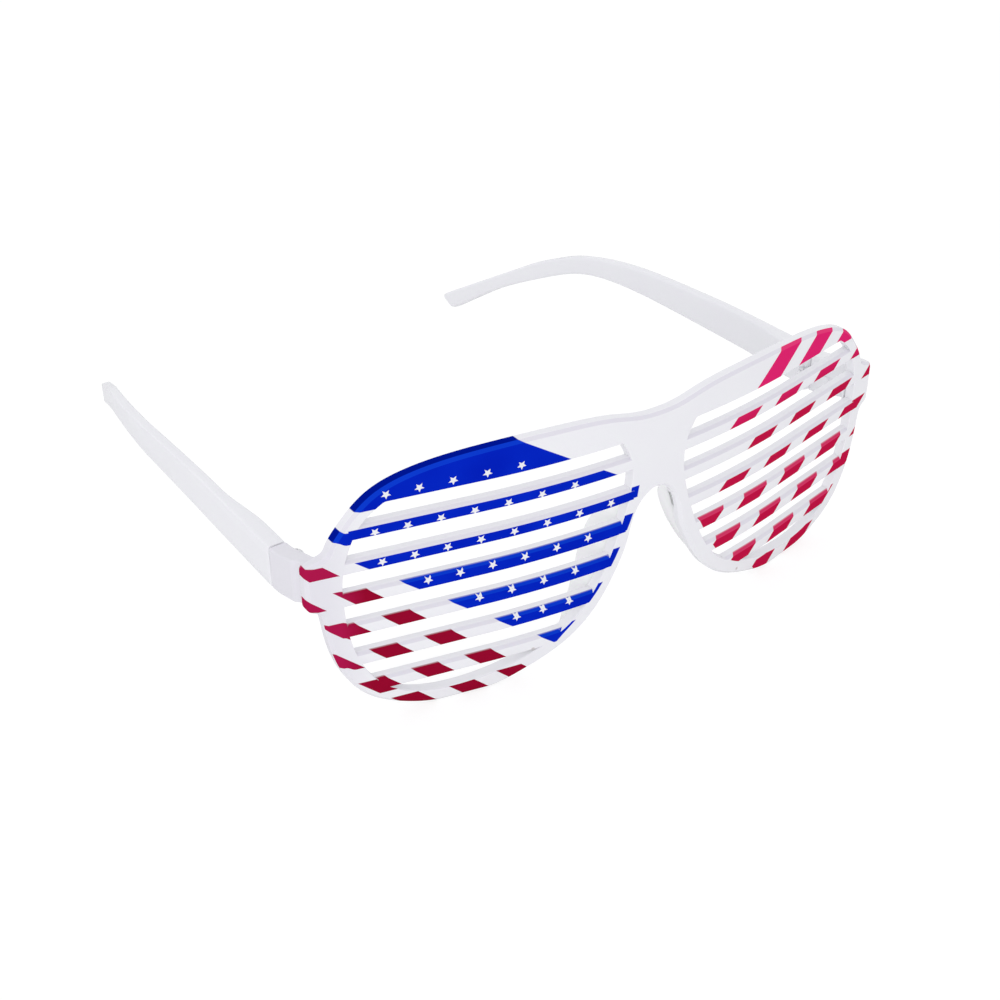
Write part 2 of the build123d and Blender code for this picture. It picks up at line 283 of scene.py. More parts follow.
@dataclass(frozen=True)
class EdgeProfile:
    """The shape of a plate's edge, as rings of (inset, distance from the nearer face)."""

    front: tuple[Point, ...]
    back: tuple[Point, ...]

    def rings(self, thickness: float) -> list[Point]:
        """The rings as (inset, depth) for a plate of some thickness."""
        return list(self.front) + [(across, thickness - up) for across, up in self.back]


def round_edge(radius: float, steps: int = 3) -> tuple[Point, ...]:
    """Rings of a quarter round, from the face to the wall."""
    angles = [pi / 2 * step / steps for step in range(steps + 1)]
    return tuple((radius * (1 - sin(angle)), radius * (1 - cos(angle))) for angle in angles)


def flat_plate(
    name: str, outline: Outline, openings: Sequence[Outline], thickness: float,
    outer: EdgeProfile, inner: EdgeProfile, grid: float,
) -> bpy.types.Object:
    """Builds a flat moulded plate, with its front at depth 0.

    Args:
        name: The name of the new object.
        outline: The plate's closed outline.
        openings: The closed outlines of its openings.
        thickness: The plate's thickness.
        outer: The edge profile of the outline.
        inner: The edge profile of the openings.
        grid: The spacing of the points inside the faces, which lets them bend.

    Returns:
        A mesh object whose X and Z are the outline's two coordinates and whose Y is the depth.
    """
    if area_of(outline) < 0:
        outline = outline[::-1]
    openings = [opening if area_of(opening) < 0 else opening[::-1] for opening in openings]
    loops = [(outline, outer)] + [(opening, inner) for opening in openings]
    shell = bmesh.new()
    faces_of: list[list[list[bmesh.types.BMVert]]] = []
    for loop, profile in loops:
        rows = []
        for across, depth in profile.rings(thickness):
            moved = inset(loop, across)
            rows.append([shell.verts.new((x, depth, z)) for x, z in moved])
        for upper, lower in zip(rows, rows[1:]):
            for place in range(len(loop)):
                after = (place + 1) % len(loop)
                shell.faces.new((upper[place], upper[after], lower[after], lower[place]))
        faces_of.append(rows)
    for layer in (0, -1):
        fill_layer(shell, [rows[layer] for rows in faces_of], grid)
    bmesh.ops.recalc_face_normals(shell, faces=shell.faces)
    mesh = bpy.data.meshes.new(name)
    shell.to_mesh(mesh)
    shell.free()
    return new_object(name, mesh)


def fill_layer(shell: bmesh.types.BMesh, rings: list[list[bmesh.types.BMVert]], grid: float) -> None:
    """Fills one flat face of a plate with triangles.

    Args:
        shell: The mesh under construction.
        rings: The plate's outline and then its openings, as vertices of the mesh.
        grid: The spacing of the points added inside the face.
    """
    loops = [np.array([(vert.co.x, vert.co.z) for vert in ring]) for ring in rings]
    depth = rings[0][0].co.y
    edge_points = np.concatenate(loops)
    low, high = edge_points.min(axis=0), edge_points.max(axis=0)
    columns = np.arange(low[0] + grid / 2, high[0], grid)
    rows = np.arange(low[1] + grid / 2, high[1], grid)
    mesh_points = np.array([(x, z) for x in columns for z in rows])
    gap = np.array([np.min(np.linalg.norm(edge_points - place, axis=1)) for place in mesh_points])
    kept = inside(mesh_points, loops[0]) & (gap > grid * CLEAR_OF_EDGE)
    for loop in loops[1:]:
        kept &= ~inside(mesh_points, loop)
    mesh_points = mesh_points[kept]
    places = [Vector(place) for place in np.concatenate((edge_points, mesh_points))]
    edges, start = [], 0
    for loop in loops:
        edges += [(start + place, start + (place + 1) % len(loop)) for place in range(len(loop))]
        start += len(loop)
    filled = geometry.delaunay_2d_cdt(places, edges, [], 1, MERGE_DISTANCE, True)
    found, _, triangles, origins, _, _ = filled
    known = [vert for ring in rings for vert in ring]
    verts = []
    for place, origin in zip(found, origins):
        if origin and origin[0] < len(known):
            verts.append(known[origin[0]])
        else:
            verts.append(shell.verts.new((place.x, depth, place.y)))
    centres = np.array([np.mean([found[corner] for corner in each], axis=0) for each in triangles])
    wanted = inside(centres, loops[0])
    for loop in loops[1:]:
        wanted &= ~inside(centres, loop)
    for each, keep in zip(triangles, wanted):
        if keep:
            shell.faces.new([verts[corner] for corner in each])


class Nodes:
    """A node tree under construction."""

    def __init__(self, tree: bpy.types.NodeTree) -> None:
        """Takes a tree up."""
        self.tree = tree

    def add(self, kind: str, **settings: object) -> bpy.types.Node:
        """Adds a node.

        Args:
            kind: The kind of the node.
            settings: The node's properties.

        Returns:
            The node.
        """
        node = self.tree.nodes.new(kind)
        for label, value in settings.items():
            setattr(node, label, value)
        return node

    def feed(self, socket: Socket, value: object) -> None:
        """Gives a socket its value.

        Args:
            socket: The socket.
            value: An output that is linked to it, or a constant.
        """
        if isinstance(value, Socket):
            self.tree.links.new(value, socket)
        else:
            socket.default_value = value

    def feed_all(self, node: bpy.types.Node, values: dict[str, object]) -> None:
        """Gives several sockets of a node their values, by the sockets' names."""
        for label, value in values.items():
            self.feed(node.inputs[label], value)

    def math(self, operation: str, *values: object) -> Socket:
        """Adds a Math node.

        Args:
            operation: What the node works out.
            values: Its two or three values, as outputs or constants.

        Returns:
            The result.
        """
        node = self.add("ShaderNodeMath", operation=operation)
        for socket, value in zip(node.inputs, values):
            self.feed(socket, value)
        return node.outputs[0]

    def split(self, vector: Socket) -> tuple[Socket, ...]:
        """Adds a Separate XYZ node.

        Args:
            vector: The vector.

        Returns:
            Its X, Y and Z.
        """
        node = self.add("ShaderNodeSeparateXYZ")
        self.feed(node.inputs[0], vector)
        return tuple(node.outputs)


class Recipe(Nodes):
    """A Geometry Nodes tree under construction."""

    def __init__(self, name: str, sizes: dict[str, float], objects: Sequence[str] = ()) -> None:
        """Starts the tree.

        Args:
            name: The name of the tree.
            sizes: The tree's named sizes and their defaults.
            objects: The names of inputs that take an object.
        """
        super().__init__(bpy.data.node_groups.new(name, "GeometryNodeTree"))
        face = self.tree.interface
        face.new_socket("Geometry", in_out="INPUT", socket_type="NodeSocketGeometry")
        for label, value in sizes.items():
            socket = face.new_socket(label, in_out="INPUT", socket_type="NodeSocketFloat")
            socket.default_value = value
        for label in objects:
            face.new_socket(label, in_out="INPUT", socket_type="NodeSocketObject")
        face.new_socket("Material", in_out="INPUT", socket_type="NodeSocketMaterial")
        face.new_socket("Geometry", in_out="OUTPUT", socket_type="NodeSocketGeometry")
        self.entry = self.tree.nodes.new("NodeGroupInput")
        self.exit = self.tree.nodes.new("NodeGroupOutput")

    def size(self, label: str) -> Socket:
        """The socket of a named input."""
        return self.entry.outputs[label]

    def vector(self, x: object, y: object, z: object) -> Socket:
        """Adds a Combine XYZ node.

        Args:
            x: The vector's X.
            y: The vector's Y.
            z: The vector's Z.

        Returns:
            The vector.
        """
        node = self.add("ShaderNodeCombineXYZ")
        for socket, value in zip(node.inputs, (x, y, z)):
            self.feed(socket, value)
        return node.outputs[0]

    def place(self) -> tuple[Socket, ...]:
        """The X, Y and Z of the position field."""
        return self.split(self.add("GeometryNodeInputPosition").outputs[0])

    def point_value(self, label: str) -> Socket:
        """Reads a named attribute of the points.

        Args:
            label: The attribute's name.

        Returns:
            The attribute's value.
        """
        node = self.add("GeometryNodeInputNamedAttribute", data_type="FLOAT")
        self.feed(node.inputs[0], label)
        return node.outputs[0]

    def arc(self, along: Socket, radius: Socket) -> tuple[Socket, Socket, Socket]:
        """Follows an arc that starts out straight.

        Args:
            along: The distance from the arc's start, measured straight on.
            radius: The radius of the arc.

        Returns:
            The sine and the cosine of the arc's turn there, and how far it has fallen away.
        """
        sine = self.math("DIVIDE", along, radius)
        cosine = self.math("SQRT", self.math("SUBTRACT", 1.0, self.math("MULTIPLY", sine, sine)))
        fall = self.math("MULTIPLY", radius, self.math("SUBTRACT", 1.0, cosine))
        return sine, cosine, fall

    def through(self, kind: str, stem: object, settings: dict | None = None, **values: object) -> Socket:
        """Passes geometry through a new node.

        Args:
            kind: The kind of the node.
            stem: The geometry, which goes to the node's first input.
            settings: Properties of the node.
            values: Values of other inputs, by their names with _ for a space.

        Returns:
            The node's first output.
        """
        node = self.add(kind, **(settings or {}))
        self.feed(node.inputs[0], stem)
        self.feed_all(node, {label.replace("_", " "): value for label, value in values.items()})
        return node.outputs[0]

    def finish(self, stem: Socket, crease: float = radians(32)) -> None:
        """Ends the tree: metres, smooth shading with creases, real geometry and the material.

        Args:
            stem: The geometry in millimetres.
            crease: The angle between two faces from which their edge stays sharp.
        """
        scaled = self.through("GeometryNodeTransform", stem, Scale=(MM, MM, MM))
        smooth = self.through("GeometryNodeSetShadeSmooth", scaled, Shade_Smooth=True)
        angle = self.add("GeometryNodeInputMeshEdgeAngle").outputs[0]
        sharp = self.math("GREATER_THAN", angle, crease)
        creased = self.through(
            "GeometryNodeSetShadeSmooth", smooth, {"domain": "EDGE"}, Selection=sharp, Shade_Smooth=False
        )
        real = self.through("GeometryNodeRealizeInstances", creased)
        dressed = self.through("GeometryNodeSetMaterial", real, Material=self.size("Material"))
        self.feed(self.exit.inputs[0], dressed)

    def make(self, name: str, stock: bpy.types.Object, values: dict[str, object]) -> bpy.types.Object:
        """Runs the tree on a piece and keeps the result as a plain mesh.

        Args:
            name: The name of the finished piece.
            stock: The object that the tree starts from. It is removed.
            values: The values of the tree's inputs, by name.

        Returns:
            The finished piece, at the origin.
        """
        modifier = stock.modifiers.new(name, "NODES")
        modifier.node_group = self.tree
        for item in self.tree.interface.items_tree:
            if item.in_out == "INPUT" and item.name in values:
                modifier[item.identifier] = values[item.name]
        stock.update_tag()
        graph = bpy.context.evaluated_depsgraph_get()
        graph.update()
        mesh = bpy.data.meshes.new_from_object(stock.evaluated_get(graph), depsgraph=graph)
        mesh.name = name
        stock.modifiers.remove(modifier)
        bpy.data.objects.remove(stock)
        return new_object(name, mesh)


@dataclass(frozen=True)
class FrontBend:
    """How the front follows the face: an arc in the middle and straight wings."""

    face_y: float = -81.0
    radius: float = 180.0
    half_width: float = 39.0

    def sizes(self) -> dict[str, float]:
        """The bend's sizes as inputs of a tree."""
        return {"Face Y": self.face_y, "Bend Radius": self.radius, "Bend Half Width": self.half_width}

    def nodes(self, recipe: Recipe, stem: Socket) -> Socket:
        """Adds the nodes that bend flat geometry, whose Y is its depth, to the front.

        Args:
            recipe: The tree.
            stem: The flat geometry.

        Returns:
            The bent geometry.
        """
        x, depth, z = recipe.place()
        radius, half = recipe.size("Bend Radius"), recipe.size("Bend Half Width")
        away = recipe.math("ABSOLUTE", x)
        sine, cosine, fall = recipe.arc(recipe.math("MINIMUM", away, half), radius)
        wing = recipe.math("MAXIMUM", recipe.math("SUBTRACT", away, half), 0.0)
        rise = recipe.math("MULTIPLY", wing, recipe.math("DIVIDE", sine, cosine))
        level = recipe.math("ADD", recipe.size("Face Y"), recipe.math("ADD", fall, rise))
        y = recipe.math("ADD", level, recipe.math("DIVIDE", depth, cosine))
        return recipe.through("GeometryNodeSetPosition", stem, Position=recipe.vector(x, y, z))

    @property
    def wing_angle(self) -> float:
        """How far the straight wings are turned back."""
        return asin(self.half_width / self.radius)

    def face_at(self, x: float) -> float:
        """Finds the front face.

        Args:
            x: The distance from the middle.

        Returns:
            The Y of the face there.
        """
        within = min(abs(x), self.half_width)
        fall = self.radius - sqrt(self.radius**2 - within**2)
        return self.face_y + fall + (abs(x) - within) * tan(self.wing_angle)


@dataclass(frozen=True)
class Joint:
    """Where the end pieces of the front meet the temples."""

    half_width: float = 72.2
    y: float = -54.5
    gap: float = 0.3
    top: float = 34.5
    height: float = 9.2
    thickness: float = 3.8

    @property
    def bottom(self) -> float:
        """The height of the temples' underside at the joint."""
        return self.top - self.height


@dataclass(frozen=True)
class Slats:
    """The slats across each eye, with a bevel along their upper edge."""

    count: int = 6
    first: float = 41.7
    pitch: float = 7.03
    height: float = 2.75
    depth: float = 2.2
    rise: float = 0.55
    bevel: float = 0.8
    edge: float = 0.16
    edge_steps: int = 2
    stations: int = 40
    overrun: float = 0.7
    search: float = 0.6

    def sizes(self) -> dict[str, float]:
        """The slats' sizes as inputs of a tree."""
        return {
            "Slat Height": self.height, "Slat Depth": self.depth, "Bevel Rise": self.rise,
            "Bevel Depth": self.bevel, "Edge Radius": self.edge, "Stations": self.stations,
        }

    def bottoms(self) -> list[float]:
        """The heights of the undersides of the slats, from the top down."""
        return [self.first - number * self.pitch for number in range(self.count)]

    def rows(self, opening: Outline) -> bpy.types.Object:
        """Marks where the slats go.

        Args:
            opening: The closed outline of the opening at +X.

        Returns:
            Points at the inner ends of the slats, each with the length of its slat.
        """
        across, up = opening[:, 0], opening[:, 1]
        starts, runs = [], []
        for bottom in self.bottoms():
            level = (up > bottom - self.search) & (up < bottom + self.height + self.search)
            middle = (across[level].min() + across[level].max()) / 2
            near = across[level & (across < middle)].min() - self.overrun
            far = across[level & (across > middle)].max() + self.overrun
            starts += [(near, 0, bottom), (-far, 0, bottom)]
            runs += [far - near] * 2
        return loose_points("slat_rows", starts, "run", runs)

    def nodes(self, recipe: Recipe) -> Socket:
        """Adds the nodes that make a slat.

        Args:
            recipe: The tree.

        Returns:
            A slat 1 mm long, with its underside at height 0 and its face at depth 0.
        """
        height, depth = recipe.size("Slat Height"), recipe.size("Slat Depth")
        rise, bevel = recipe.size("Bevel Rise"), recipe.size("Bevel Depth")
        down = recipe.math("MULTIPLY", height, -1.0)
        back = recipe.math("MULTIPLY", depth, -1.0)
        corners = (
            (0.0, 0.0), (0.0, recipe.math("SUBTRACT", rise, height)),
            (recipe.math("MULTIPLY", bevel, -1.0), down), (back, down), (back, 0.0),
        )
        switch = recipe.add("GeometryNodeIndexSwitch", data_type="VECTOR")
        while len(switch.index_switch_items) < len(corners):
            switch.index_switch_items.new()
        recipe.feed(switch.inputs[0], recipe.add("GeometryNodeInputIndex").outputs[0])
        for number, (x, y) in enumerate(corners):
            recipe.feed(switch.inputs[1 + number], recipe.vector(x, y, 0.0))
        ring = recipe.through("GeometryNodeMeshCircle", len(corners))
        ring = recipe.through("GeometryNodeSetPosition", ring, Position=switch.outputs[0])
        ring = recipe.through("GeometryNodeMeshToCurve", ring)
        ring = recipe.through(
            "GeometryNodeFilletCurve", ring, {"mode": "POLY"}, Radius=recipe.size("Edge Radius"),
            Count=self.edge_steps,
        )
        line = recipe.add("GeometryNodeCurvePrimitiveLine")
        recipe.feed(line.inputs["End"], (1.0, 0.0, 0.0))
        path = recipe.through("GeometryNodeResampleCurve", line.outputs[0], Count=recipe.size("Stations"))
        bar = recipe.through("GeometryNodeCurveToMesh", path, Profile_Curve=ring, Fill_Caps=True)
        return recipe.through("GeometryNodeFlipFaces", bar)


@dataclass(frozen=True)
class Flange:
    """The sizes of a nose flange, which stands behind the inner rim and thins out at its ends."""

    reach: float = 10.0
    thickness: float = 1.6
    splay: float = 12.0
    top: float = 33.6
    bottom: float = 4.6
    setback: float = 0.25
    root_share: float = 0.75
    round_share: float = 0.9
    least_depth: float = 0.1
    round_steps: int = 4
    outline_step: float = 0.3

    back_shares = (
        (0.25, 0.0), (0.62, 0.09), (0.9, 0.19), (1.0, 0.28), (1.0, 0.45), (0.83, 0.68), (0.59, 0.86),
        (0.25, 1.0),
    )

    def back(self) -> Outline:
        """Draws the flange's back edge.

        Returns:
            The line of the edge, as depths and heights.
        """
        height = self.top - self.bottom
        points = [(self.reach * depth, self.top - height * down) for depth, down in self.back_shares]
        return smooth_through(points, self.outline_step)

    def section(self, depth: float, root: float) -> list[Point]:
        """Cuts through the flange.

        Args:
            depth: How deep the flange is at the cut.
            root: The depth at which it starts, inside the rim.

        Returns:
            The outline of the cut as (across, depth), with a round back edge.
        """
        radius = min(self.thickness / 2 * self.round_share, max(depth - root, self.least_depth) / 2)
        middle = depth - radius
        points = [(0.0, root), (0.0, max(middle, root))]
        angles = [pi / 2 * step / self.round_steps for step in range(self.round_steps + 1)]
        for angle in angles[1:]:
            points.append((radius * (1 - cos(angle)), middle + radius * sin(angle)))
        for angle in angles:
            points.append((self.thickness - radius + radius * sin(angle), middle + radius * cos(angle)))
        return points + [(self.thickness, root)]


@dataclass
class Front:
    """The front moulding: rims and bridge, slats, end pieces and nose flanges."""

    height: float = 55.0
    thickness: float = 2.4
    joint: Joint = Joint()
    bend: FrontBend = FrontBend()
    slats: Slats = Slats()
    flange: Flange = Flange()
    brow_end: Point = (0.3, -1.0)
    cheek_start: Point = (-0.15, -1.0)
    curve_step: float = 0.9
    nasal_step: float = 0.7
    corner_step: float = 0.5
    end_corner: float = 1.1
    bar_step: float = 1.5
    opening_corner: float = 0.5
    face_grid: float = 2.2
    outer_bevel: float = 0.6
    bevel_blend: float = 0.03
    bevel_overlap: float = 0.05
    back_edge: float = 0.25
    opening_edge: float = 0.14
    opening_back_edge: float = 0.2
    crease: float = 14.0
    end_top: float = 37.4
    end_bottom: float = 28.0
    end_stations: int = 40
    end_edge: float = 0.45
    mouth_edge: float = 0.3
    mouth_steps: tuple[float, ...] = (0.2, 0.1, 0.03, 0.0)
    root_draw: float = 0.35
    neck_setback: float = 1.3
    neck_radius: float = 2.6
    neck_depth: float = 0.7
    inner_fillet: float = 3.0
    flange_step: float = 0.5

    brow_shares = (
        (0.0, 0.955), (0.07, 0.961), (0.14, 0.98), (0.29, 0.999), (0.45, 1.0),
        (0.60, 0.988), (0.72, 0.962), (0.82, 0.908), (0.897, 0.806), (0.940, 0.71),
    )
    cheek_shares = (
        (0.965, 0.488), (0.952, 0.36), (0.92, 0.217), (0.855, 0.098), (0.76, 0.03), (0.65, 0.0),
    )
    nasal_shares = (
        (0.535, 0.0), (0.422, 0.033), (0.284, 0.11), (0.188, 0.222),
        (0.13, 0.345), (0.0925, 0.462), (0.058, 0.597), (0.0, 0.645),
    )
    eye_side_shares = (
        (0.79, 0.878), (0.845, 0.82), (0.884, 0.73), (0.906, 0.62), (0.908, 0.5), (0.897, 0.36),
        (0.863, 0.225), (0.81, 0.13), (0.73, 0.073), (0.63, 0.054), (0.5, 0.071), (0.386, 0.113),
        (0.262, 0.205), (0.19, 0.327), (0.146, 0.45), (0.11, 0.585), (0.091, 0.71), (0.097, 0.8),
        (0.127, 0.878),
    )

    def on_front(self, shares: Sequence[Point]) -> list[Point]:
        """Points on the front from shares of its half width and height."""
        return [(self.joint.half_width * across, self.height * up) for across, up in shares]

    def outline(self) -> Outline:
        """Draws the front flat.

        Returns:
            The front's closed outline.
        """
        brow, cheek, nasal = (
            self.on_front(shares) for shares in (self.brow_shares, self.cheek_shares, self.nasal_shares)
        )
        top, bottom = (self.joint.half_width, self.end_top), (self.joint.half_width, self.end_bottom)
        outline = mirrored(np.concatenate((
            smooth_through(brow, self.curve_step, (1, 0), self.brow_end),
            straight(brow[-1], top, self.corner_step), straight(top, bottom, self.corner_step),
            straight(bottom, cheek[0], self.corner_step),
            smooth_through(cheek, self.curve_step, self.cheek_start, (-1, 0)),
            straight(cheek[-1], nasal[0], self.curve_step),
            smooth_through(nasal, self.nasal_step, (-1, 0), (-1, 0)),
        )))
        for sign in (1, -1):
            for across, up in (brow[-1], top, bottom, cheek[0]):
                outline = eased(outline, (across * sign, up), self.end_corner)
        return outline

    def opening(self) -> Outline:
        """Draws an eye's opening flat.

        Returns:
            The closed outline of the opening at +X.
        """
        side = smooth_through(self.on_front(self.eye_side_shares), self.nasal_step)
        outline = joined(straight(tuple(side[-1]), tuple(side[0]), self.bar_step), side)
        for corner in (side[0], side[-1]):
            outline = eased(outline, tuple(corner), self.opening_corner)
        return outline

    def grille_recipe(self) -> Recipe:
        """Builds the tree that sets the slats into the rims and bends the whole to the face.

        Returns:
            The tree.
        """
        sizes = {**self.bend.sizes(), **self.slats.sizes()}
        recipe = Recipe("slatted front", sizes, objects=("Slat Rows",))
        bar = self.slats.nodes(recipe)
        rows = recipe.add("GeometryNodeObjectInfo")
        recipe.feed(rows.inputs[0], recipe.size("Slat Rows"))
        slats = recipe.through(
            "GeometryNodeInstanceOnPoints", rows.outputs["Geometry"], Instance=bar,
            Scale=recipe.vector(recipe.point_value("run"), 1.0, 1.0),
        )
        slats = recipe.through("GeometryNodeRealizeInstances", slats)
        rims = recipe.through(
            "GeometryNodeStoreNamedAttribute", recipe.size("Geometry"),
            {"data_type": "FLOAT", "domain": "FACE"}, Name="rim", Value=1.0,
        )
        union = recipe.add("GeometryNodeMeshBoolean", operation="UNION", solver="EXACT")
        for solid in (rims, slats):
            recipe.feed(union.inputs["Mesh 2"], solid)
        recipe.finish(self.bend.nodes(recipe, union.outputs[0]), radians(self.crease))
        return recipe

    def end_piece(self, side: Side) -> list[list[Vector]]:
        """Cross-sections of an end piece, from inside the wing back to the joint.

        Args:
            side: The side of the face.

        Returns:
            One ring of points per cross-section, in millimetres.
        """
        joint, edge = self.joint, self.mouth_edge
        slant = self.thickness / cos(self.bend.wing_angle)
        wing_y = self.bend.face_at(joint.half_width) + slant
        inner = joint.half_width - joint.thickness
        corner_y = self.bend.face_at(inner) + slant
        neck_y, neck, fillet = wing_y + self.neck_setback, self.neck_radius, self.inner_fillet
        start_y, end_y = wing_y - slant / 2, joint.y - joint.gap / 2
        stations = [start_y + (end_y - start_y) * share for share in np.linspace(0, 1, self.end_stations)]
        rings = []
        for y in stations[:-1] + [end_y - step for step in self.mouth_steps]:
            outer = joint.half_width - self.root_draw * max(0.0, 1 - (y - start_y) / slant * 2)
            if abs(y - neck_y) < neck:
                dip = sqrt(neck**2 - (y - neck_y) ** 2) - (neck - self.neck_depth)
                outer = min(outer, joint.half_width - max(dip, 0))
            away = min(max(corner_y + fillet - y, 0), fillet)
            flare = fillet - sqrt(max(fillet**2 - away**2, 0))
            share = min(max((y - start_y) / (end_y - start_y), 0), 1)
            ease = share * share * (3 - 2 * share)
            top = self.end_top + (joint.top - self.end_top) * ease
            bottom = self.end_bottom + (joint.bottom - self.end_bottom) * ease
            shrink = edge - sqrt(max(edge**2 - max(y - end_y + edge, 0) ** 2, 0))
            across = (inner - flare + shrink, outer - shrink)
            rings.append(rounded_ring(side, y, across, (bottom + shrink, top - shrink), self.end_edge))
        return rings

    def nose_flange(self, side: Side) -> list[list[Vector]]:
        """Cross-sections of a nose flange, from its top down along the rim.

        Args:
            side: The side of the face.

        Returns:
            One ring of points per cross-section, in millimetres.
        """
        form = self.flange
        back = form.back()
        rim = smooth_through(self.on_front(self.nasal_shares[1:-1]), self.flange_step)[::-1]
        root = self.thickness * form.root_share
        rings = []
        for place in range(1, len(rim) - 1):
            x, z = rim[place]
            if not form.bottom < z < form.top:
                continue
            along = rim[place + 1] - rim[place - 1]
            along /= np.linalg.norm(along)
            away = np.array((-along[1], along[0])) * (1 if -along[1] > 0 else -1)
            depth = float(np.interp(z, back[::-1, 1], back[::-1, 0]))
            ring = []
            for across, deep in form.section(depth, root):
                shift = away * (form.setback + across)
                at = (deep - root) * tan(radians(form.splay))
                ring.append(Vector((
                    side.value * (x + shift[0] + at), self.bend.face_y + deep, z + shift[1],
                )))
            rings.append(ring)
        return rings

    def build(self, plastic: bpy.types.Material) -> bpy.types.Object:
        """Builds the whole moulding and dresses it.

        Args:
            plastic: The printed plastic.

        Returns:
            The finished piece.
        """
        half = self.opening()
        bevel, blend, overlap = self.outer_bevel, self.bevel_blend, self.bevel_overlap
        outer = EdgeProfile(
            ((bevel + overlap, 0.0), (bevel - blend, blend), (blend, bevel - blend), (0.0, bevel + overlap)),
            round_edge(self.back_edge)[::-1],
        )
        inner = EdgeProfile(
            round_edge(self.opening_edge, 2), round_edge(self.opening_back_edge, 2)[::-1],
        )
        rims = flat_plate(
            "rims", self.outline(), [half, (half * (-1, 1))[::-1]], self.thickness, outer, inner,
            self.face_grid,
        )
        rows = self.slats.rows(half)
        values = {"Slat Rows": rows, "Material": plastic}
        piece = self.grille_recipe().make("front_moulding", rims, values)
        bpy.data.objects.remove(rows)
        for side in Side:
            # The nose flanges get thin = 1, which makes them translucent and paints them a whiter white as
            # painted light.
            forms = (("end_piece", self.end_piece(side), 0.0), ("nose_flange", self.nose_flange(side), 1.0))
            for label, rings, thin in forms:
                loft_into(piece.data, rings, thin)
                log.info("%s_%s is on the front", side.word, label)
        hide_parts("front_frame")
        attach(piece, Body.FRONT.value)
        return piece


def rounded_ring(
    side: Side, y: float, across: Point, upright: Point, radius: float, steps: int = 4
) -> list[Vector]:
    """A rectangle with round corners at a depth y.

    Args:
        side: The side of the face, which gives the sign of X.
        y: Where the ring lies along Y.
        across: Its lowest and highest distance from the middle plane.
        upright: Its lowest and highest height.
        radius: The radius of its corners.
        steps: The steps of each corner.

    Returns:
        The ring's points.
    """
    points = []
    for number, (x, z) in enumerate((
        (across[1] - radius, upright[1] - radius), (across[0] + radius, upright[1] - radius),
        (across[0] + radius, upright[0] + radius), (across[1] - radius, upright[0] + radius),
    )):
        for step in range(steps + 1):
            angle = pi / 2 * (number + step / steps)
            points.append(Vector((side.value * (x + radius * cos(angle)), y, z + radius * sin(angle))))
    return points


def loft_into(mesh: bpy.types.Mesh, rings: list[list[Vector]], thin: float) -> None:
    """Adds a closed form through rings of points to a mesh in metres.

    Args:
        mesh: The mesh that the form is added to.
        rings: The form's rings in millimetres, all with as many points.
        thin: How much light the form lets through, and how far it is painted a whiter white as painted
            light, kept as an attribute of its faces.
    """
    form = bmesh.new()
    rows = [[form.verts.new(point * MM) for point in ring] for ring in rings]
    for near, far in zip(rows, rows[1:]):
        for place in range(len(near)):
            after = (place + 1) % len(near)
            form.faces.new((near[place], near[after], far[after], far[place]))
    form.faces.new(rows[0])
    form.faces.new(rows[-1])
    bmesh.ops.recalc_face_normals(form, faces=form.faces)
    layer = form.faces.layers.float.new("thin")
    for face in form.faces:
        face.smooth = True
        face[layer] = thin
    for edge in form.edges:
        if edge.calc_face_angle(0) > LOFT_CREASE:
            edge.smooth = False
    addition = bpy.data.meshes.new("addition")
    form.to_mesh(addition)
    form.free()
    whole = bmesh.new()
    whole.from_mesh(mesh)
    if "thin" not in whole.faces.layers.float:
        whole.faces.layers.float.new("thin")
    whole.from_mesh(addition)
    whole.to_mesh(mesh)
    whole.free()
    bpy.data.meshes.remove(addition)


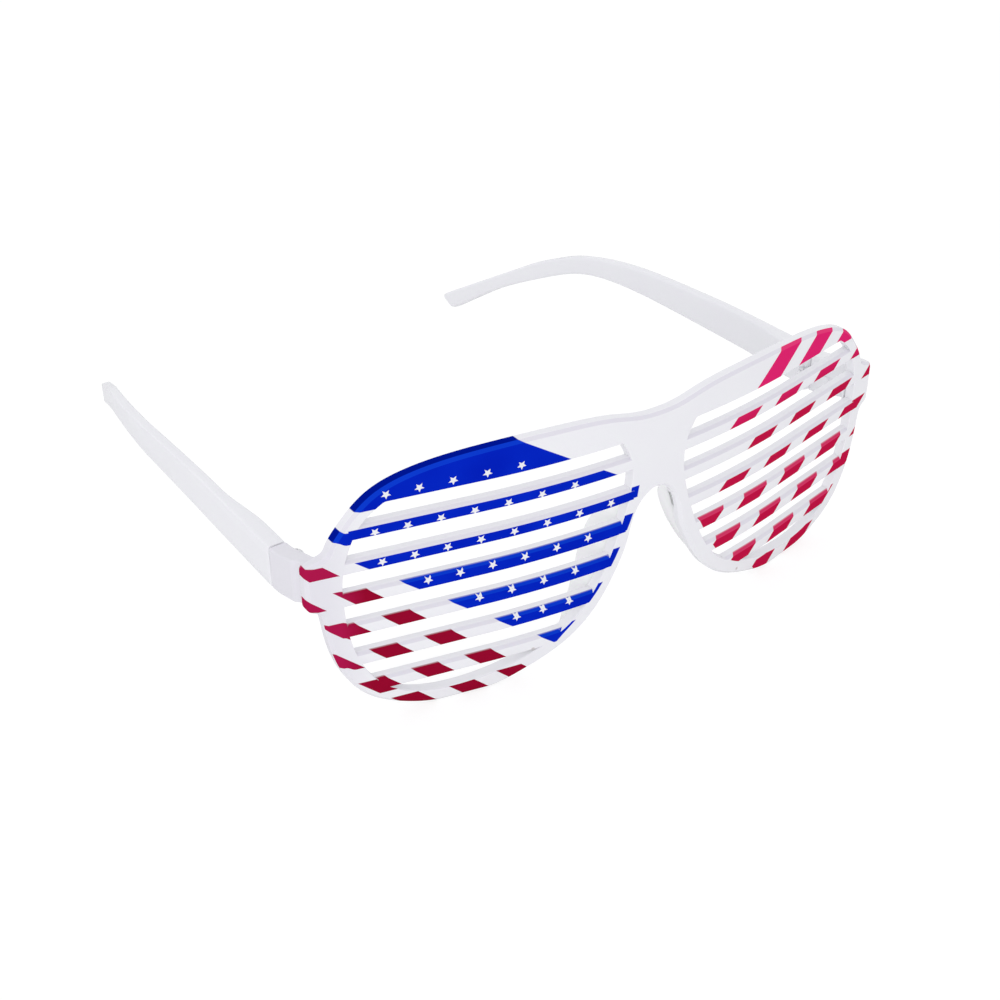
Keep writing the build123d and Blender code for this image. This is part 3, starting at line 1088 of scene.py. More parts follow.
@dataclass
class Temple:
    """A temple: thick at the joint, bent in behind, with a hook that turns down."""

    side: Side
    joint: Joint = Joint()
    length: float = 135.5
    thickness: float = 2.3
    taper_start: float = 8.3
    taper_length: float = 16.0
    bend_start: float = 57.0
    bend_radius: float = 170.0
    tip_rounding: float = 1.7
    flare: float = 1.2
    flare_length: float = 16.0
    outer_edge: float = 0.3
    inner_edge: float = 0.72
    inner_steps: int = 5
    curve_step: float = 1.2
    tip_step: float = 0.6
    joint_step: float = 0.8
    face_grid: float = 2.4

    upper_shares = (
        (0.2, 1.0), (0.31, 0.988), (0.43, 0.964), (0.545, 0.924), (0.61, 0.884), (0.665, 0.832),
        (0.722, 0.745), (0.78, 0.638),
    )
    lower_shares = (
        (0.06, 0.735), (0.31, 0.752), (0.45, 0.755), (0.55, 0.75), (0.61, 0.732), (0.662, 0.688),
        (0.72, 0.6), (0.8, 0.455), (0.884, 0.272),
    )
    tip_shares = ((0.998, 0.146), (0.972, 0.038))

    def on_side(self, shares: Sequence[Point]) -> list[Point]:
        """Points on the temple's side from shares of its length and top height."""
        return [(self.length * back, self.joint.top * up) for back, up in shares]

    def outline(self) -> Outline:
        """Draws the temple's side flat.

        Returns:
            The closed outline, as distances behind the joint and heights.
        """
        upper, lower, tips = (
            self.on_side(shares) for shares in (self.upper_shares, self.lower_shares, self.tip_shares)
        )
        tip_top, tip_bottom = tips
        over = tuple(np.array(tip_top) - upper[-1])
        under = tuple(np.array(tip_bottom) - lower[-1])
        start = self.joint.gap / 2
        start_top, start_bottom = (start, self.joint.top), (start, self.joint.bottom)
        outline = joined(
            straight(start_top, upper[0], self.curve_step),
            smooth_through(upper, self.curve_step, (1, 0), over),
            straight(upper[-1], tip_top, self.curve_step), straight(tip_top, tip_bottom, self.tip_step),
            straight(tip_bottom, lower[-1], self.curve_step),
            smooth_through([start_bottom, *lower], self.curve_step, (1, 0), under)[::-1],
            straight(start_bottom, start_top, self.joint_step),
        )
        for tip in tips:
            outline = eased(outline, tip, self.tip_rounding)
        return outline

    def recipe(self) -> Recipe:
        """Builds the tree that bends a flat temple into its place.

        Returns:
            The tree.
        """
        recipe = Recipe("bent temple", {
            "Half Width": self.joint.half_width, "Joint Y": self.joint.y, "Bend Start": self.bend_start,
            "Bend Radius": self.bend_radius, "Thickness": self.thickness,
            "Joint Thickness": self.joint.thickness, "Taper Start": self.taper_start,
            "Taper Length": self.taper_length, "Flare": self.flare,
            "Flare Start": self.length - self.flare_length, "Flare Length": self.flare_length, "Side": 1.0,
        })
        back, depth, z = recipe.place()
        behind = recipe.math("MAXIMUM", recipe.math("SUBTRACT", back, recipe.size("Bend Start")), 0.0)
        _, cosine, inwards = recipe.arc(behind, recipe.size("Bend Radius"))
        along = recipe.math("SUBTRACT", back, recipe.size("Flare Start"))
        along = recipe.math("DIVIDE", recipe.math("MAXIMUM", along, 0.0), recipe.size("Flare Length"))
        outwards = recipe.math("MULTIPLY", recipe.math("MULTIPLY", along, along), recipe.size("Flare"))
        inwards = recipe.math("SUBTRACT", inwards, outwards)
        share = recipe.add("ShaderNodeMapRange", interpolation_type="SMOOTHSTEP")
        end = recipe.math("ADD", recipe.size("Taper Start"), recipe.size("Taper Length"))
        ends = (
            recipe.size("Taper Start"), end,
            recipe.math("DIVIDE", recipe.size("Joint Thickness"), recipe.size("Thickness")), 1.0,
        )
        recipe.feed(share.inputs[0], back)
        for socket, value in zip(list(share.inputs)[1:5], ends):
            recipe.feed(socket, value)
        deep = recipe.math("DIVIDE", recipe.math("MULTIPLY", depth, share.outputs[0]), cosine)
        offset = recipe.math("SUBTRACT", recipe.size("Half Width"), recipe.math("ADD", inwards, deep))
        x = recipe.math("MULTIPLY", offset, recipe.size("Side"))
        y = recipe.math("ADD", back, recipe.size("Joint Y"))
        moved = recipe.through(
            "GeometryNodeSetPosition", recipe.size("Geometry"), Position=recipe.vector(x, y, z)
        )
        flip = recipe.math("LESS_THAN", recipe.size("Side"), 0.0)
        turned = recipe.through("GeometryNodeFlipFaces", moved, Selection=flip)
        recipe.finish(turned)
        return recipe

    def build(self, plastic: bpy.types.Material, recipe: Recipe) -> bpy.types.Object:
        """Builds the temple and dresses it.

        Args:
            plastic: The white plastic.
            recipe: The tree that bends temples.

        Returns:
            The finished piece.
        """
        edges = EdgeProfile(round_edge(self.outer_edge), round_edge(self.inner_edge, self.inner_steps)[::-1])
        side = flat_plate("side", self.outline(), [], self.thickness, edges, edges, self.face_grid)
        name = f"{self.side.word}_temple_moulding"
        piece = recipe.make(name, side, {"Side": float(self.side.value), "Material": plastic})
        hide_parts(f"{self.side.word}_temple")
        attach(piece, (Body.LEFT if self.side is Side.LEFT else Body.RIGHT).value)
        return piece


@dataclass
class Stars:
    """The white stars in the blue field, printed in rows along the top bar and the slats.

    A row holds its first star's X and Z, the number of its stars and their pitch, to which stretch
    adds a little more with each star.
    """

    bend: FrontBend = FrontBend()
    slats: Slats = Slats()
    tips: int = 5
    divisions: int = 2
    radius: float = 0.97
    waist: float = 0.45
    turn: float = 90.0
    stretch: float = 0.089
    proud: float = 0.02
    rooted: float = 0.35
    slat_face: float = 2.2
    bevel_rise: float = 0.5
    bevel_slope: float = 1.455
    crease_room: float = 0.1
    edge_room: float = 0.04
    bar_edge: float = 48.75

    rows = (
        (-56.70, 49.80, 5, 6.05), (-59.06, 42.4, 7, 6.0), (-58.02, 35.75, 8, 6.02),
        (-49.58, 29.35, 6, 6.15), (-39.64, 22.55, 4, 6.5), (-32.07, 15.7, 3, 5.6),
    )

    def points(self) -> bpy.types.Object:
        """Marks where the stars go.

        Returns:
            Points at the middles of the stars, flat on the front, each with the height of the lower
            edge of its bar or slat.
        """
        places, edges = [], []
        for (first, z, count, pitch), edge in zip(self.rows, [self.bar_edge, *self.slats.bottoms()]):
            for number in range(count):
                places.append((first + pitch * number + self.stretch * number**2, 0, z))
                edges.append(edge)
        return loose_points("star_places", places, "edge", edges)

    def star(self, recipe: Recipe) -> Socket:
        """Adds the nodes that make a star.

        Args:
            recipe: The tree.

        Returns:
            A thin solid star, finely divided so that it can bend.
        """
        star = recipe.add("GeometryNodeCurveStar")
        waist = recipe.math("MULTIPLY", recipe.size("Star Radius"), recipe.size("Waist"))
        sizes = {"Points": self.tips, "Outer Radius": recipe.size("Star Radius"), "Inner Radius": waist}
        recipe.feed_all(star, sizes)
        outline = recipe.through(
            "GeometryNodeTransform", star.outputs[0], Rotation=(0.0, 0.0, radians(self.turn))
        )
        line = recipe.add("GeometryNodeCurvePrimitiveLine")
        proud = recipe.math("MULTIPLY", recipe.size("Proud"), -1.0)
        recipe.feed(line.inputs["Start"], recipe.vector(0.0, proud, 0.0))
        recipe.feed(line.inputs["End"], recipe.vector(0.0, recipe.size("Rooted"), 0.0))
        solid = recipe.through(
            "GeometryNodeCurveToMesh", line.outputs[0], Profile_Curve=outline, Fill_Caps=True
        )
        return recipe.through("GeometryNodeSubdivideMesh", solid, Level=self.divisions)

    def recipe(self) -> Recipe:
        """Builds the tree that lays the stars along the slats and over their bevels.

        Returns:
            The tree.
        """
        recipe = Recipe("printed stars", {
            **self.bend.sizes(), "Star Radius": self.radius, "Waist": self.waist, "Proud": self.proud,
            "Rooted": self.rooted, "Slat Face": self.slat_face, "Bevel Rise": self.bevel_rise,
            "Bevel Slope": self.bevel_slope, "Crease Room": self.crease_room, "Edge Room": self.edge_room,
        })
        spread = recipe.through(
            "GeometryNodeInstanceOnPoints", recipe.size("Geometry"), Instance=self.star(recipe)
        )
        spread = recipe.through("GeometryNodeRealizeInstances", spread)
        edge = recipe.point_value("edge")
        x, y, z = recipe.place()
        lowest = recipe.math("ADD", edge, recipe.size("Edge Room"))
        crease = recipe.math("ADD", edge, recipe.size("Slat Face"))
        highest = recipe.math("ADD", crease, recipe.size("Bevel Rise"))
        z = recipe.math("MAXIMUM", recipe.math("MINIMUM", z, highest), lowest)
        over = recipe.math("SUBTRACT", recipe.math("SUBTRACT", z, crease), recipe.size("Crease Room"))
        over = recipe.math("MAXIMUM", over, 0.0)
        y = recipe.math("MULTIPLY_ADD", over, recipe.size("Bevel Slope"), y)
        spread = recipe.through("GeometryNodeSetPosition", spread, Position=recipe.vector(x, y, z))
        recipe.finish(self.bend.nodes(recipe, spread))
        return recipe

    def build(self, ink: bpy.types.Material) -> bpy.types.Object:
        """Builds all stars as one thin layer on the front.

        Args:
            ink: The white of the stars.

        Returns:
            The finished piece.
        """
        piece = self.recipe().make("printed_stars", self.points(), {"Material": ink})
        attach(piece, Body.FRONT.value)
        return piece


class Shader(Nodes):
    """A material's node tree under construction."""

    def __init__(self, name: str) -> None:
        """Starts a material with a bare Principled shader.

        Args:
            name: The name of the material.
        """
        self.material = bpy.data.materials.new(name)
        self.material.use_nodes = True
        super().__init__(self.material.node_tree)
        self.surface = self.tree.nodes["Principled BSDF"]
        scaled = self.add("ShaderNodeVectorMath", operation="SCALE")
        self.feed(scaled.inputs[0], self.add("ShaderNodeTexCoord").outputs["Object"])
        self.feed(scaled.inputs["Scale"], 1 / MM)
        self.place = scaled.outputs[0]
        self.x, self.y, self.z = self.split(self.place)

    def line(self, across: float, up: float, offset: float) -> Socket:
        """The value across * x + up * z + offset, in millimetres."""
        return self.math("MULTIPLY_ADD", self.x, across, self.math("MULTIPLY_ADD", self.z, up, offset))

    def ramp(self, value: object, soft: float = 0.1) -> Socket:
        """Makes a mask with a soft edge.

        Args:
            value: The value whose sign decides.
            soft: The width of the edge, as a change of the value.

        Returns:
            1 where the value is positive and 0 where it is negative.
        """
        node = self.math("MULTIPLY_ADD", value, 1 / soft, 0.5)
        node.node.use_clamp = True
        return node

    def beyond(self, across: float, up: float, offset: float, soft: float = 0.1) -> Socket:
        """1 where across * x + up * z + offset is positive and 0 elsewhere."""
        return self.ramp(self.line(across, up, offset), soft)

    def below(self, value: object, most: object, soft: float = 0.1) -> Socket:
        """1 where a value is below another and 0 elsewhere."""
        return self.ramp(self.math("SUBTRACT", most, value), soft)

    def curve(self, value: Socket, points: Sequence[Point]) -> Socket:
        """Looks a value up on a smooth curve.

        Args:
            value: The value, from 0 to 1.
            points: The curve's points, from 0 to 1.

        Returns:
            The curve's height at the value.
        """
        node = self.add("ShaderNodeFloatCurve")
        line = node.mapping.curves[0]
        for number, place in enumerate(points):
            if number < 2:
                line.points[number].location = place
            else:
                line.points.new(*place)
        node.mapping.update()
        self.feed(node.inputs["Value"], value)
        return node.outputs[0]

    def limit(self, shares: Sequence[Point], size: float = 50.0) -> Socket:
        """A distance across the front at the height of the place, from shares of one size for both."""
        return self.math("MULTIPLY", self.curve(self.math("DIVIDE", self.z, size), shares), size)

    def attribute(self, name: str) -> Socket:
        """The value of a mesh attribute."""
        return self.add("ShaderNodeAttribute", attribute_name=name).outputs["Fac"]

    def spot(self, place: Sequence[float], radius: float) -> Socket:
        """Makes a mask of a soft round spot.

        Args:
            place: The spot's middle.
            radius: The spot's radius.

        Returns:
            1 in the middle of the spot and 0 outside it.
        """
        away = self.add("ShaderNodeVectorMath", operation="DISTANCE")
        self.feed(away.inputs[0], self.place)
        self.feed(away.inputs[1], place)
        return self.below(away.outputs["Value"], radius * SPOT_CORE, radius * SPOT_BLEND)

    def both(self, *masks: Socket) -> Socket:
        """Where all masks are 1."""
        return reduce(lambda first, second: self.math("MINIMUM", first, second), masks)

    def either(self, *masks: Socket) -> Socket:
        """Where any mask is 1."""
        return reduce(lambda first, second: self.math("MAXIMUM", first, second), masks)

    def noise(self, scale: float, detail: float = 3.0) -> Socket:
        """Adds noise on the place in millimetres.

        Args:
            scale: How many of its waves lie in a millimetre.
            detail: How many finer layers it has.

        Returns:
            The noise, from 0 to 1.
        """
        node = self.add("ShaderNodeTexNoise")
        self.feed_all(node, {"Vector": self.place, "Scale": scale, "Detail": detail})
        return node.outputs["Fac"]

    def spread(self, value: object, low: float, high: float) -> Socket:
        """Maps 0 to 1 onto a range."""
        return self.math("MULTIPLY_ADD", value, high - low, low)

    def mix(self, share: object, first: object, second: object) -> Socket:
        """Mixes two colours.

        Args:
            share: The share of the second colour.
            first: The first colour.
            second: The second colour.

        Returns:
            The mixed colour.
        """
        node = self.add("ShaderNodeMix", data_type="RGBA")
        for number, value in ((0, share), (6, first), (7, second)):
            self.feed(node.inputs[number], value)
        return node.outputs[2]

    def bump(self, height: object, strength: float, distance: float) -> None:
        """Roughens the surface.

        Args:
            height: The height of the roughness, from 0 to 1.
            strength: How strongly it shows.
            distance: The height of 1, in millimetres.
        """
        node = self.add("ShaderNodeBump")
        self.feed_all(node, {"Strength": strength, "Distance": distance * MM, "Height": height})
        self.feed(self.surface.inputs["Normal"], node.outputs[0])

    def dress(self, **values: object) -> bpy.types.Material:
        """Gives the surface its values.

        Args:
            values: The values, by the names of the surface's inputs with _ for a space.

        Returns:
            The material.
        """
        self.feed_all(self.surface, {label.replace("_", " "): value for label, value in values.items()})
        return self.material


Colour = tuple[float, float, float, float]


def screen(red: int, green: int, blue: int) -> Colour:
    """Turns a colour as a screen shows it into linear values.

    Args:
        red: The colour's red, from 0 to 255.
        green: Its green.
        blue: Its blue.

    Returns:
        The linear red, green and blue, and full cover.
    """
    values = []
    for value in (red, green, blue):
        share = value / 255
        values.append(share / 12.92 if share <= 0.04045 else ((share + 0.055) / 1.055) ** 2.4)
    return (*values, 1.0)


@dataclass(frozen=True)
class WhitePlastic:
    """Glossy white moulded plastic, slightly clouded."""

    name: str = "white_plastic"
    white: Colour = screen(241, 241, 243)
    cloud: Colour = screen(238, 237, 241)
    roughness: Span = (0.18, 0.26)
    bending: float = 1.5
    shine: float = 0.3
    depth: float = 0.12
    depth_scale: float = 0.0005
    depth_tint: Place = (1.0, 0.9, 1.0)
    haze_scale: float = 0.35
    cloud_scale: float = 0.09
    ripple_scale: float = 0.5
    ripple_strength: float = 0.06
    ripple_height: float = 0.05

    def base(self, shader: Shader) -> Socket:
        """Gives the plastic its gloss and depth.

        Args:
            shader: The material under construction.

        Returns:
            The plastic's colour.
        """
        shader.dress(
            IOR=self.bending, Specular_IOR_Level=self.shine, Subsurface_Weight=self.depth,
            Subsurface_Radius=self.depth_tint, Subsurface_Scale=self.depth_scale,
            Roughness=shader.spread(shader.noise(self.haze_scale), *self.roughness),
        )
        shader.bump(shader.noise(self.ripple_scale, 1.0), self.ripple_strength, self.ripple_height)
        return shader.mix(shader.noise(self.cloud_scale, 2.0), self.white, self.cloud)

    def build(self) -> bpy.types.Material:
        """Builds the material."""
        shader = Shader(self.name)
        return shader.dress(Base_Color=self.base(shader))


@dataclass(frozen=True)
class PrintedPlastic(WhitePlastic):
    """The front's plastic with the print of stars and stripes on its front-facing surfaces.

    A border of the print is (a, b, c), with ink where a * x + b * z + c is positive. A limit is a
    curve of (height, distance from the middle), both as shares of 50 mm. The print on a slat is as
    high as band_reach says, first for the upper rows, with ink on their faces only, and then for the
    lower rows, with ink on their bevels too. The lower rows begin where upper_rows says, first at -X
    and then at +X. On the rims the bands of the print are moved up or down by up to 1 mm, by a curve
    of (share of shift_width from the middle, share of the way from -1 mm to 1 mm).
    """

    name: str = "printed_plastic"
    blue: Colour = screen(3, 27, 177)
    bright_blue: Colour = screen(7, 43, 199)
    # Painted highlights: the lighter blue and pink on the upward bevels.
    light_blue: Colour = screen(20, 78, 216)
    # Painted shade: the darker blue on walls that do not face the front.
    navy: Colour = screen(0, 22, 146)
    # One red with painted light and shade: darker on the eye at -X, lighter at its end piece, on the eye at
    # +X and higher up.
    crimson: Colour = screen(149, 11, 45)
    rose: Colour = screen(172, 24, 74)
    scarlet: Colour = screen(192, 22, 68)
    pink: Colour = screen(224, 38, 110)
    light_pink: Colour = screen(236, 84, 132)
    # Painted shade: the greyer white mixed in at the end piece at -X and on the upward bevels.
    lilac: Colour = screen(212, 207, 219)
    # Painted light: the nose flanges are painted a whiter white than the rest.
    lit_white: Colour = screen(254, 254, 255)
    gate_brown: Colour = screen(150, 118, 96)
    slats: Slats = Slats()
    blotch_scale: float = 0.12
    print_y: float = -67.0
    faced_from: float = 0.5
    upward_from: float = 0.2
    ink_edge: float = 0.12
    band_reach: Span = (2.1, 3.1)
    upper_rows: Span = (2.5, 3.5)
    rim_reach: float = 0.5
    lowest_band: float = 5.6
    top_bar: float = 47.2
    bottom_rim: float = 3.8
    shift_width: float = 80.0
    brow_height: float = 40.5
    end_reach: float = 70.0
    left_start: Point = (-57.9, 27.6)
    left_slope: float = 0.888
    left_pitch: float = 10.7
    left_width: float = 5.4
    left_end: float = -30.0
    right_start: Point = (42.5, 42.8)
    right_slope: float = 0.867
    right_pitch: float = 14.3
    right_width: float = 7.8
    right_reach: float = 22.5
    second_reach: float = 11.0
    second_height: float = 40.0
    # The share of the painted highlight on the upward bevels.
    gloss: float = 0.4
    # Where the painted light and shade of the red change.
    rose_reach: float = 64.0
    rose_blend: float = 5.0
    pink_height: float = 43.0
    pink_blend: float = 8.0
    eye_blend: float = 4.0
    # Painted shade: the share of greyer white on the upward bevels.
    bevel_tint: float = 0.55
    # Painted shade at the end piece at -X: its share, and where and how softly it starts.
    end_tint: float = 0.4
    end_tint_reach: float = 65.0
    end_tint_blend: float = 8.0
    gate_radius: float = 0.6
    flange_glow: float = 0.88
    flange_scale: float = 0.002

    field_borders = ((0.765, 1.0, 11.54), (-0.6256, -1.0, 35.35))
    field_limit_shares = (
        (0.0, 0.6), (0.147, 0.452), (0.214, 0.376), (0.287, 0.306), (0.338, 0.266), (0.415, 0.218),
        (0.48, 0.184), (0.56, 0.148), (0.66, 0.112), (0.74, 0.098), (1.0, 0.05),
    )
    stripe_limit_shares = (
        (0.0, 0.66), (0.08, 0.6), (0.18, 0.445), (0.32, 0.325), (0.46, 0.245), (0.56, 0.19), (1.0, 0.16),
    )
    rim_shift_shares = (
        (0.0, 0.5), (0.15, 0.75), (0.4, 0.3), (0.55, 0.08), (0.8, 0.08), (0.83, 0.55), (1.0, 0.55),
    )
    gates = ((-28.5, -78.4, 6.6), (25.6, -78.8, 4.9))

    def bands(self, shader: Shader) -> Socket:
        """Finds the heights of the print: along the slats, on the top bar and on the bottom rim.

        Args:
            shader: The material under construction.

        Returns:
            1 at the heights that the print can have.
        """
        rim = shader.attribute("rim")
        away = shader.math("MAXIMUM", shader.math("DIVIDE", shader.x, -self.shift_width), 0.0)
        shift = shader.spread(shader.curve(away, self.rim_shift_shares), -1.0, 1.0)
        down = shader.math("SUBTRACT", self.slats.first + self.slats.pitch, shader.z)
        down = shader.math("MULTIPLY_ADD", shift, rim, down)
        turns = shader.math("DIVIDE", down, self.slats.pitch)
        row = shader.math("CEIL", turns)
        up = shader.math("MULTIPLY", shader.math("SUBTRACT", row, turns), self.slats.pitch)
        upper_rows = shader.spread(shader.ramp(shader.x, 1.0), *self.upper_rows)
        low_row = shader.below(upper_rows, row)
        reach = shader.spread(low_row, *self.band_reach)
        reach = shader.math("MULTIPLY_ADD", rim, self.rim_reach, reach)
        band = shader.both(
            shader.below(up, reach, self.ink_edge), shader.beyond(0, 1, -self.lowest_band),
        )
        top = shader.beyond(0, 1, -self.top_bar, self.ink_edge)
        bottom = shader.beyond(0, -1, self.bottom_rim, self.ink_edge)
        return shader.either(band, top, bottom)

    def field(self, shader: Shader) -> Socket:
        """Finds the blue field of the stars.

        Args:
            shader: The material under construction.

        Returns:
            1 inside the field's borders.
        """
        nasal = shader.math("SUBTRACT", shader.line(-1, 0, 0), shader.limit(self.field_limit_shares))
        borders = [shader.beyond(*border, self.ink_edge) for border in self.field_borders]
        return shader.both(*borders, shader.ramp(nasal, self.ink_edge))

    def left_stripes(self, shader: Shader) -> Socket:
        """Finds the stripes below the blue field.

        Args:
            shader: The material under construction.

        Returns:
            1 on the stripes.
        """
        x, z = self.left_start
        back = shader.line(-1, -1 / self.left_slope, z / self.left_slope + x)
        within = shader.math("FLOORED_MODULO", back, self.left_pitch)
        return shader.both(
            shader.ramp(back, self.ink_edge), shader.below(within, self.left_width, self.ink_edge),
            shader.beyond(-1, 0, self.left_end),
        )

    def right_stripes(self, shader: Shader) -> Socket:
        """Finds the stripes of the other eye, of which the second only shows on the brow.

        Args:
            shader: The material under construction.

        Returns:
            1 on the stripes.
        """
        x, z = self.right_start
        back = shader.line(-1, 1 / self.right_slope, x - z / self.right_slope)
        within = shader.math("FLOORED_MODULO", back, self.right_pitch)
        shown = shader.either(
            shader.below(back, self.second_reach), shader.beyond(0, 1, -self.second_height)
        )
        return shader.both(
            shader.below(within, self.right_width, self.ink_edge), shown,
            shader.below(back, self.right_reach),
            shader.below(shader.limit(self.stripe_limit_shares), shader.x),
        )

    def turned(self, shader: Shader) -> tuple[Socket, Socket, Socket]:
        """Tells which way the surface looks.

        Args:
            shader: The material under construction.

        Returns:
            1 where it looks to the front, to the right and upwards.
        """
        across, ahead, up = shader.split(shader.add("ShaderNodeNewGeometry").outputs["Normal"])
        front = shader.ramp(shader.math("MULTIPLY_ADD", ahead, -1.0, -self.faced_from))
        right = shader.ramp(shader.math("MULTIPLY_ADD", across, -1.0, -self.faced_from))
        return front, right, shader.below(self.upward_from, up)

    def blues(self, shader: Shader, facing: Socket, gloss: Socket) -> Socket:
        """Mixes the blue of the field, with a painted highlight on the bevels and painted shade on walls
        that do not face the front.

        Args:
            shader: The material under construction.
            facing: 1 where the surface looks to the front.
            gloss: How far a bevel gets the painted highlight.

        Returns:
            The blue.
        """
        blue = shader.mix(shader.noise(self.blotch_scale, 1.0), self.blue, self.bright_blue)
        # Painted highlight: the bevels are painted a lighter blue.
        blue = shader.mix(gloss, blue, self.light_blue)
        # Painted shade: the ink on walls that do not face the front is a darker blue.
        return shader.mix(facing, self.navy, blue)

    def reds(self, shader: Shader, gloss: Socket) -> Socket:
        """Mixes the red of the stripes, with painted light and shade: darker on the eye at -X, lighter at
        its end piece, on the eye at +X and higher up.

        Args:
            shader: The material under construction.
            gloss: How far a bevel gets the painted highlight.

        Returns:
            The red.
        """
        # Painted light and shade: the red is darker on the eye at -X and lighter at its end piece, on the
        # eye at +X and higher up.
        outer = shader.beyond(-1, 0, -self.rose_reach, self.rose_blend)
        high = shader.beyond(0, 1, -self.pink_height, self.pink_blend)
        left = shader.mix(outer, self.crimson, self.rose)
        right = shader.mix(high, self.scarlet, self.pink)
        other_eye = shader.ramp(shader.x, self.eye_blend)
        red = shader.mix(other_eye, left, right)
        # Painted highlight: the bevels of the eye at +X are painted a lighter pink.
        return shader.mix(shader.math("MULTIPLY", gloss, other_eye), red, self.light_pink)

    def build(self) -> bpy.types.Material:
        """Builds the material.

        Returns:
            The material.
        """
        shader = Shader(self.name)
        plain = self.base(shader)
        facing, outwards, upwards = self.turned(shader)
        bevel = shader.both(upwards, facing)
        # The painted highlight on the upward bevels that face the front.
        gloss = shader.math("MULTIPLY", bevel, self.gloss)
        brow = shader.both(shader.beyond(0, 1, -self.brow_height), shader.either(upwards, outwards))
        end = shader.both(shader.beyond(-1, 0, -self.end_reach), outwards)
        band = shader.both(self.bands(shader), shader.below(shader.y, self.print_y))
        field = shader.both(band, shader.either(facing, brow), self.field(shader))
        stripes = shader.either(
            shader.both(band, shader.either(facing, end), self.left_stripes(shader)),
            shader.both(band, facing, self.right_stripes(shader)),
        )
        # Painted shade: the white turns greyer at the end piece at -X.
        end_part = shader.beyond(-1, 0, -self.end_tint_reach, self.end_tint_blend)
        end_shade = shader.math("MULTIPLY", end_part, self.end_tint)
        # Painted shade: the upward bevels that face the front turn greyer.
        bevel_shade = shader.math("MULTIPLY", bevel, self.bevel_tint)
        # Mixes the painted shade into the plain white.
        colour = shader.mix(shader.either(end_shade, bevel_shade), plain, self.lilac)
        colour = shader.mix(field, colour, self.blues(shader, facing, gloss))
        colour = shader.mix(stripes, colour, self.reds(shader, gloss))
        for gate in self.gates:
            colour = shader.mix(shader.spot(gate, self.gate_radius), colour, self.gate_brown)
        # Painted light: the nose flanges, whose thin attribute is 1, are painted a whiter white, besides
        # being made translucent.
        thin = shader.attribute("thin")
        ink = shader.either(field, stripes)
        depth = shader.math("MULTIPLY_ADD", thin, self.flange_glow, shader.spread(ink, self.depth, 0.0))
        return shader.dress(
            Base_Color=shader.mix(thin, colour, self.lit_white),
            Specular_IOR_Level=shader.spread(ink, self.shine, 0.0), Subsurface_Weight=depth,
            Subsurface_Scale=shader.spread(thin, self.depth_scale, self.flange_scale),
        )


@dataclass(frozen=True)
class BrushedSteel:
    """Plain steel with fine marks of its making."""

    name: str
    colour: Colour = screen(226, 226, 229)
    dull: Colour = screen(204, 204, 209)
    roughness: Span = (0.25, 0.5)
    mark_scale: float = 6.0
    mark_detail: float = 4.0
    mark_strength: float = 0.2
    mark_height: float = 0.02

    def build(self) -> bpy.types.Material:
        """Builds the material.

        Returns:
            The material.
        """
        shader = Shader(self.name)
        marks = shader.noise(self.mark_scale, self.mark_detail)
        shader.bump(marks, self.mark_strength, self.mark_height)
        return shader.dress(
            Metallic=1.0, Base_Color=shader.mix(marks, self.colour, self.dull),
            Roughness=shader.spread(marks, *self.roughness),
        )


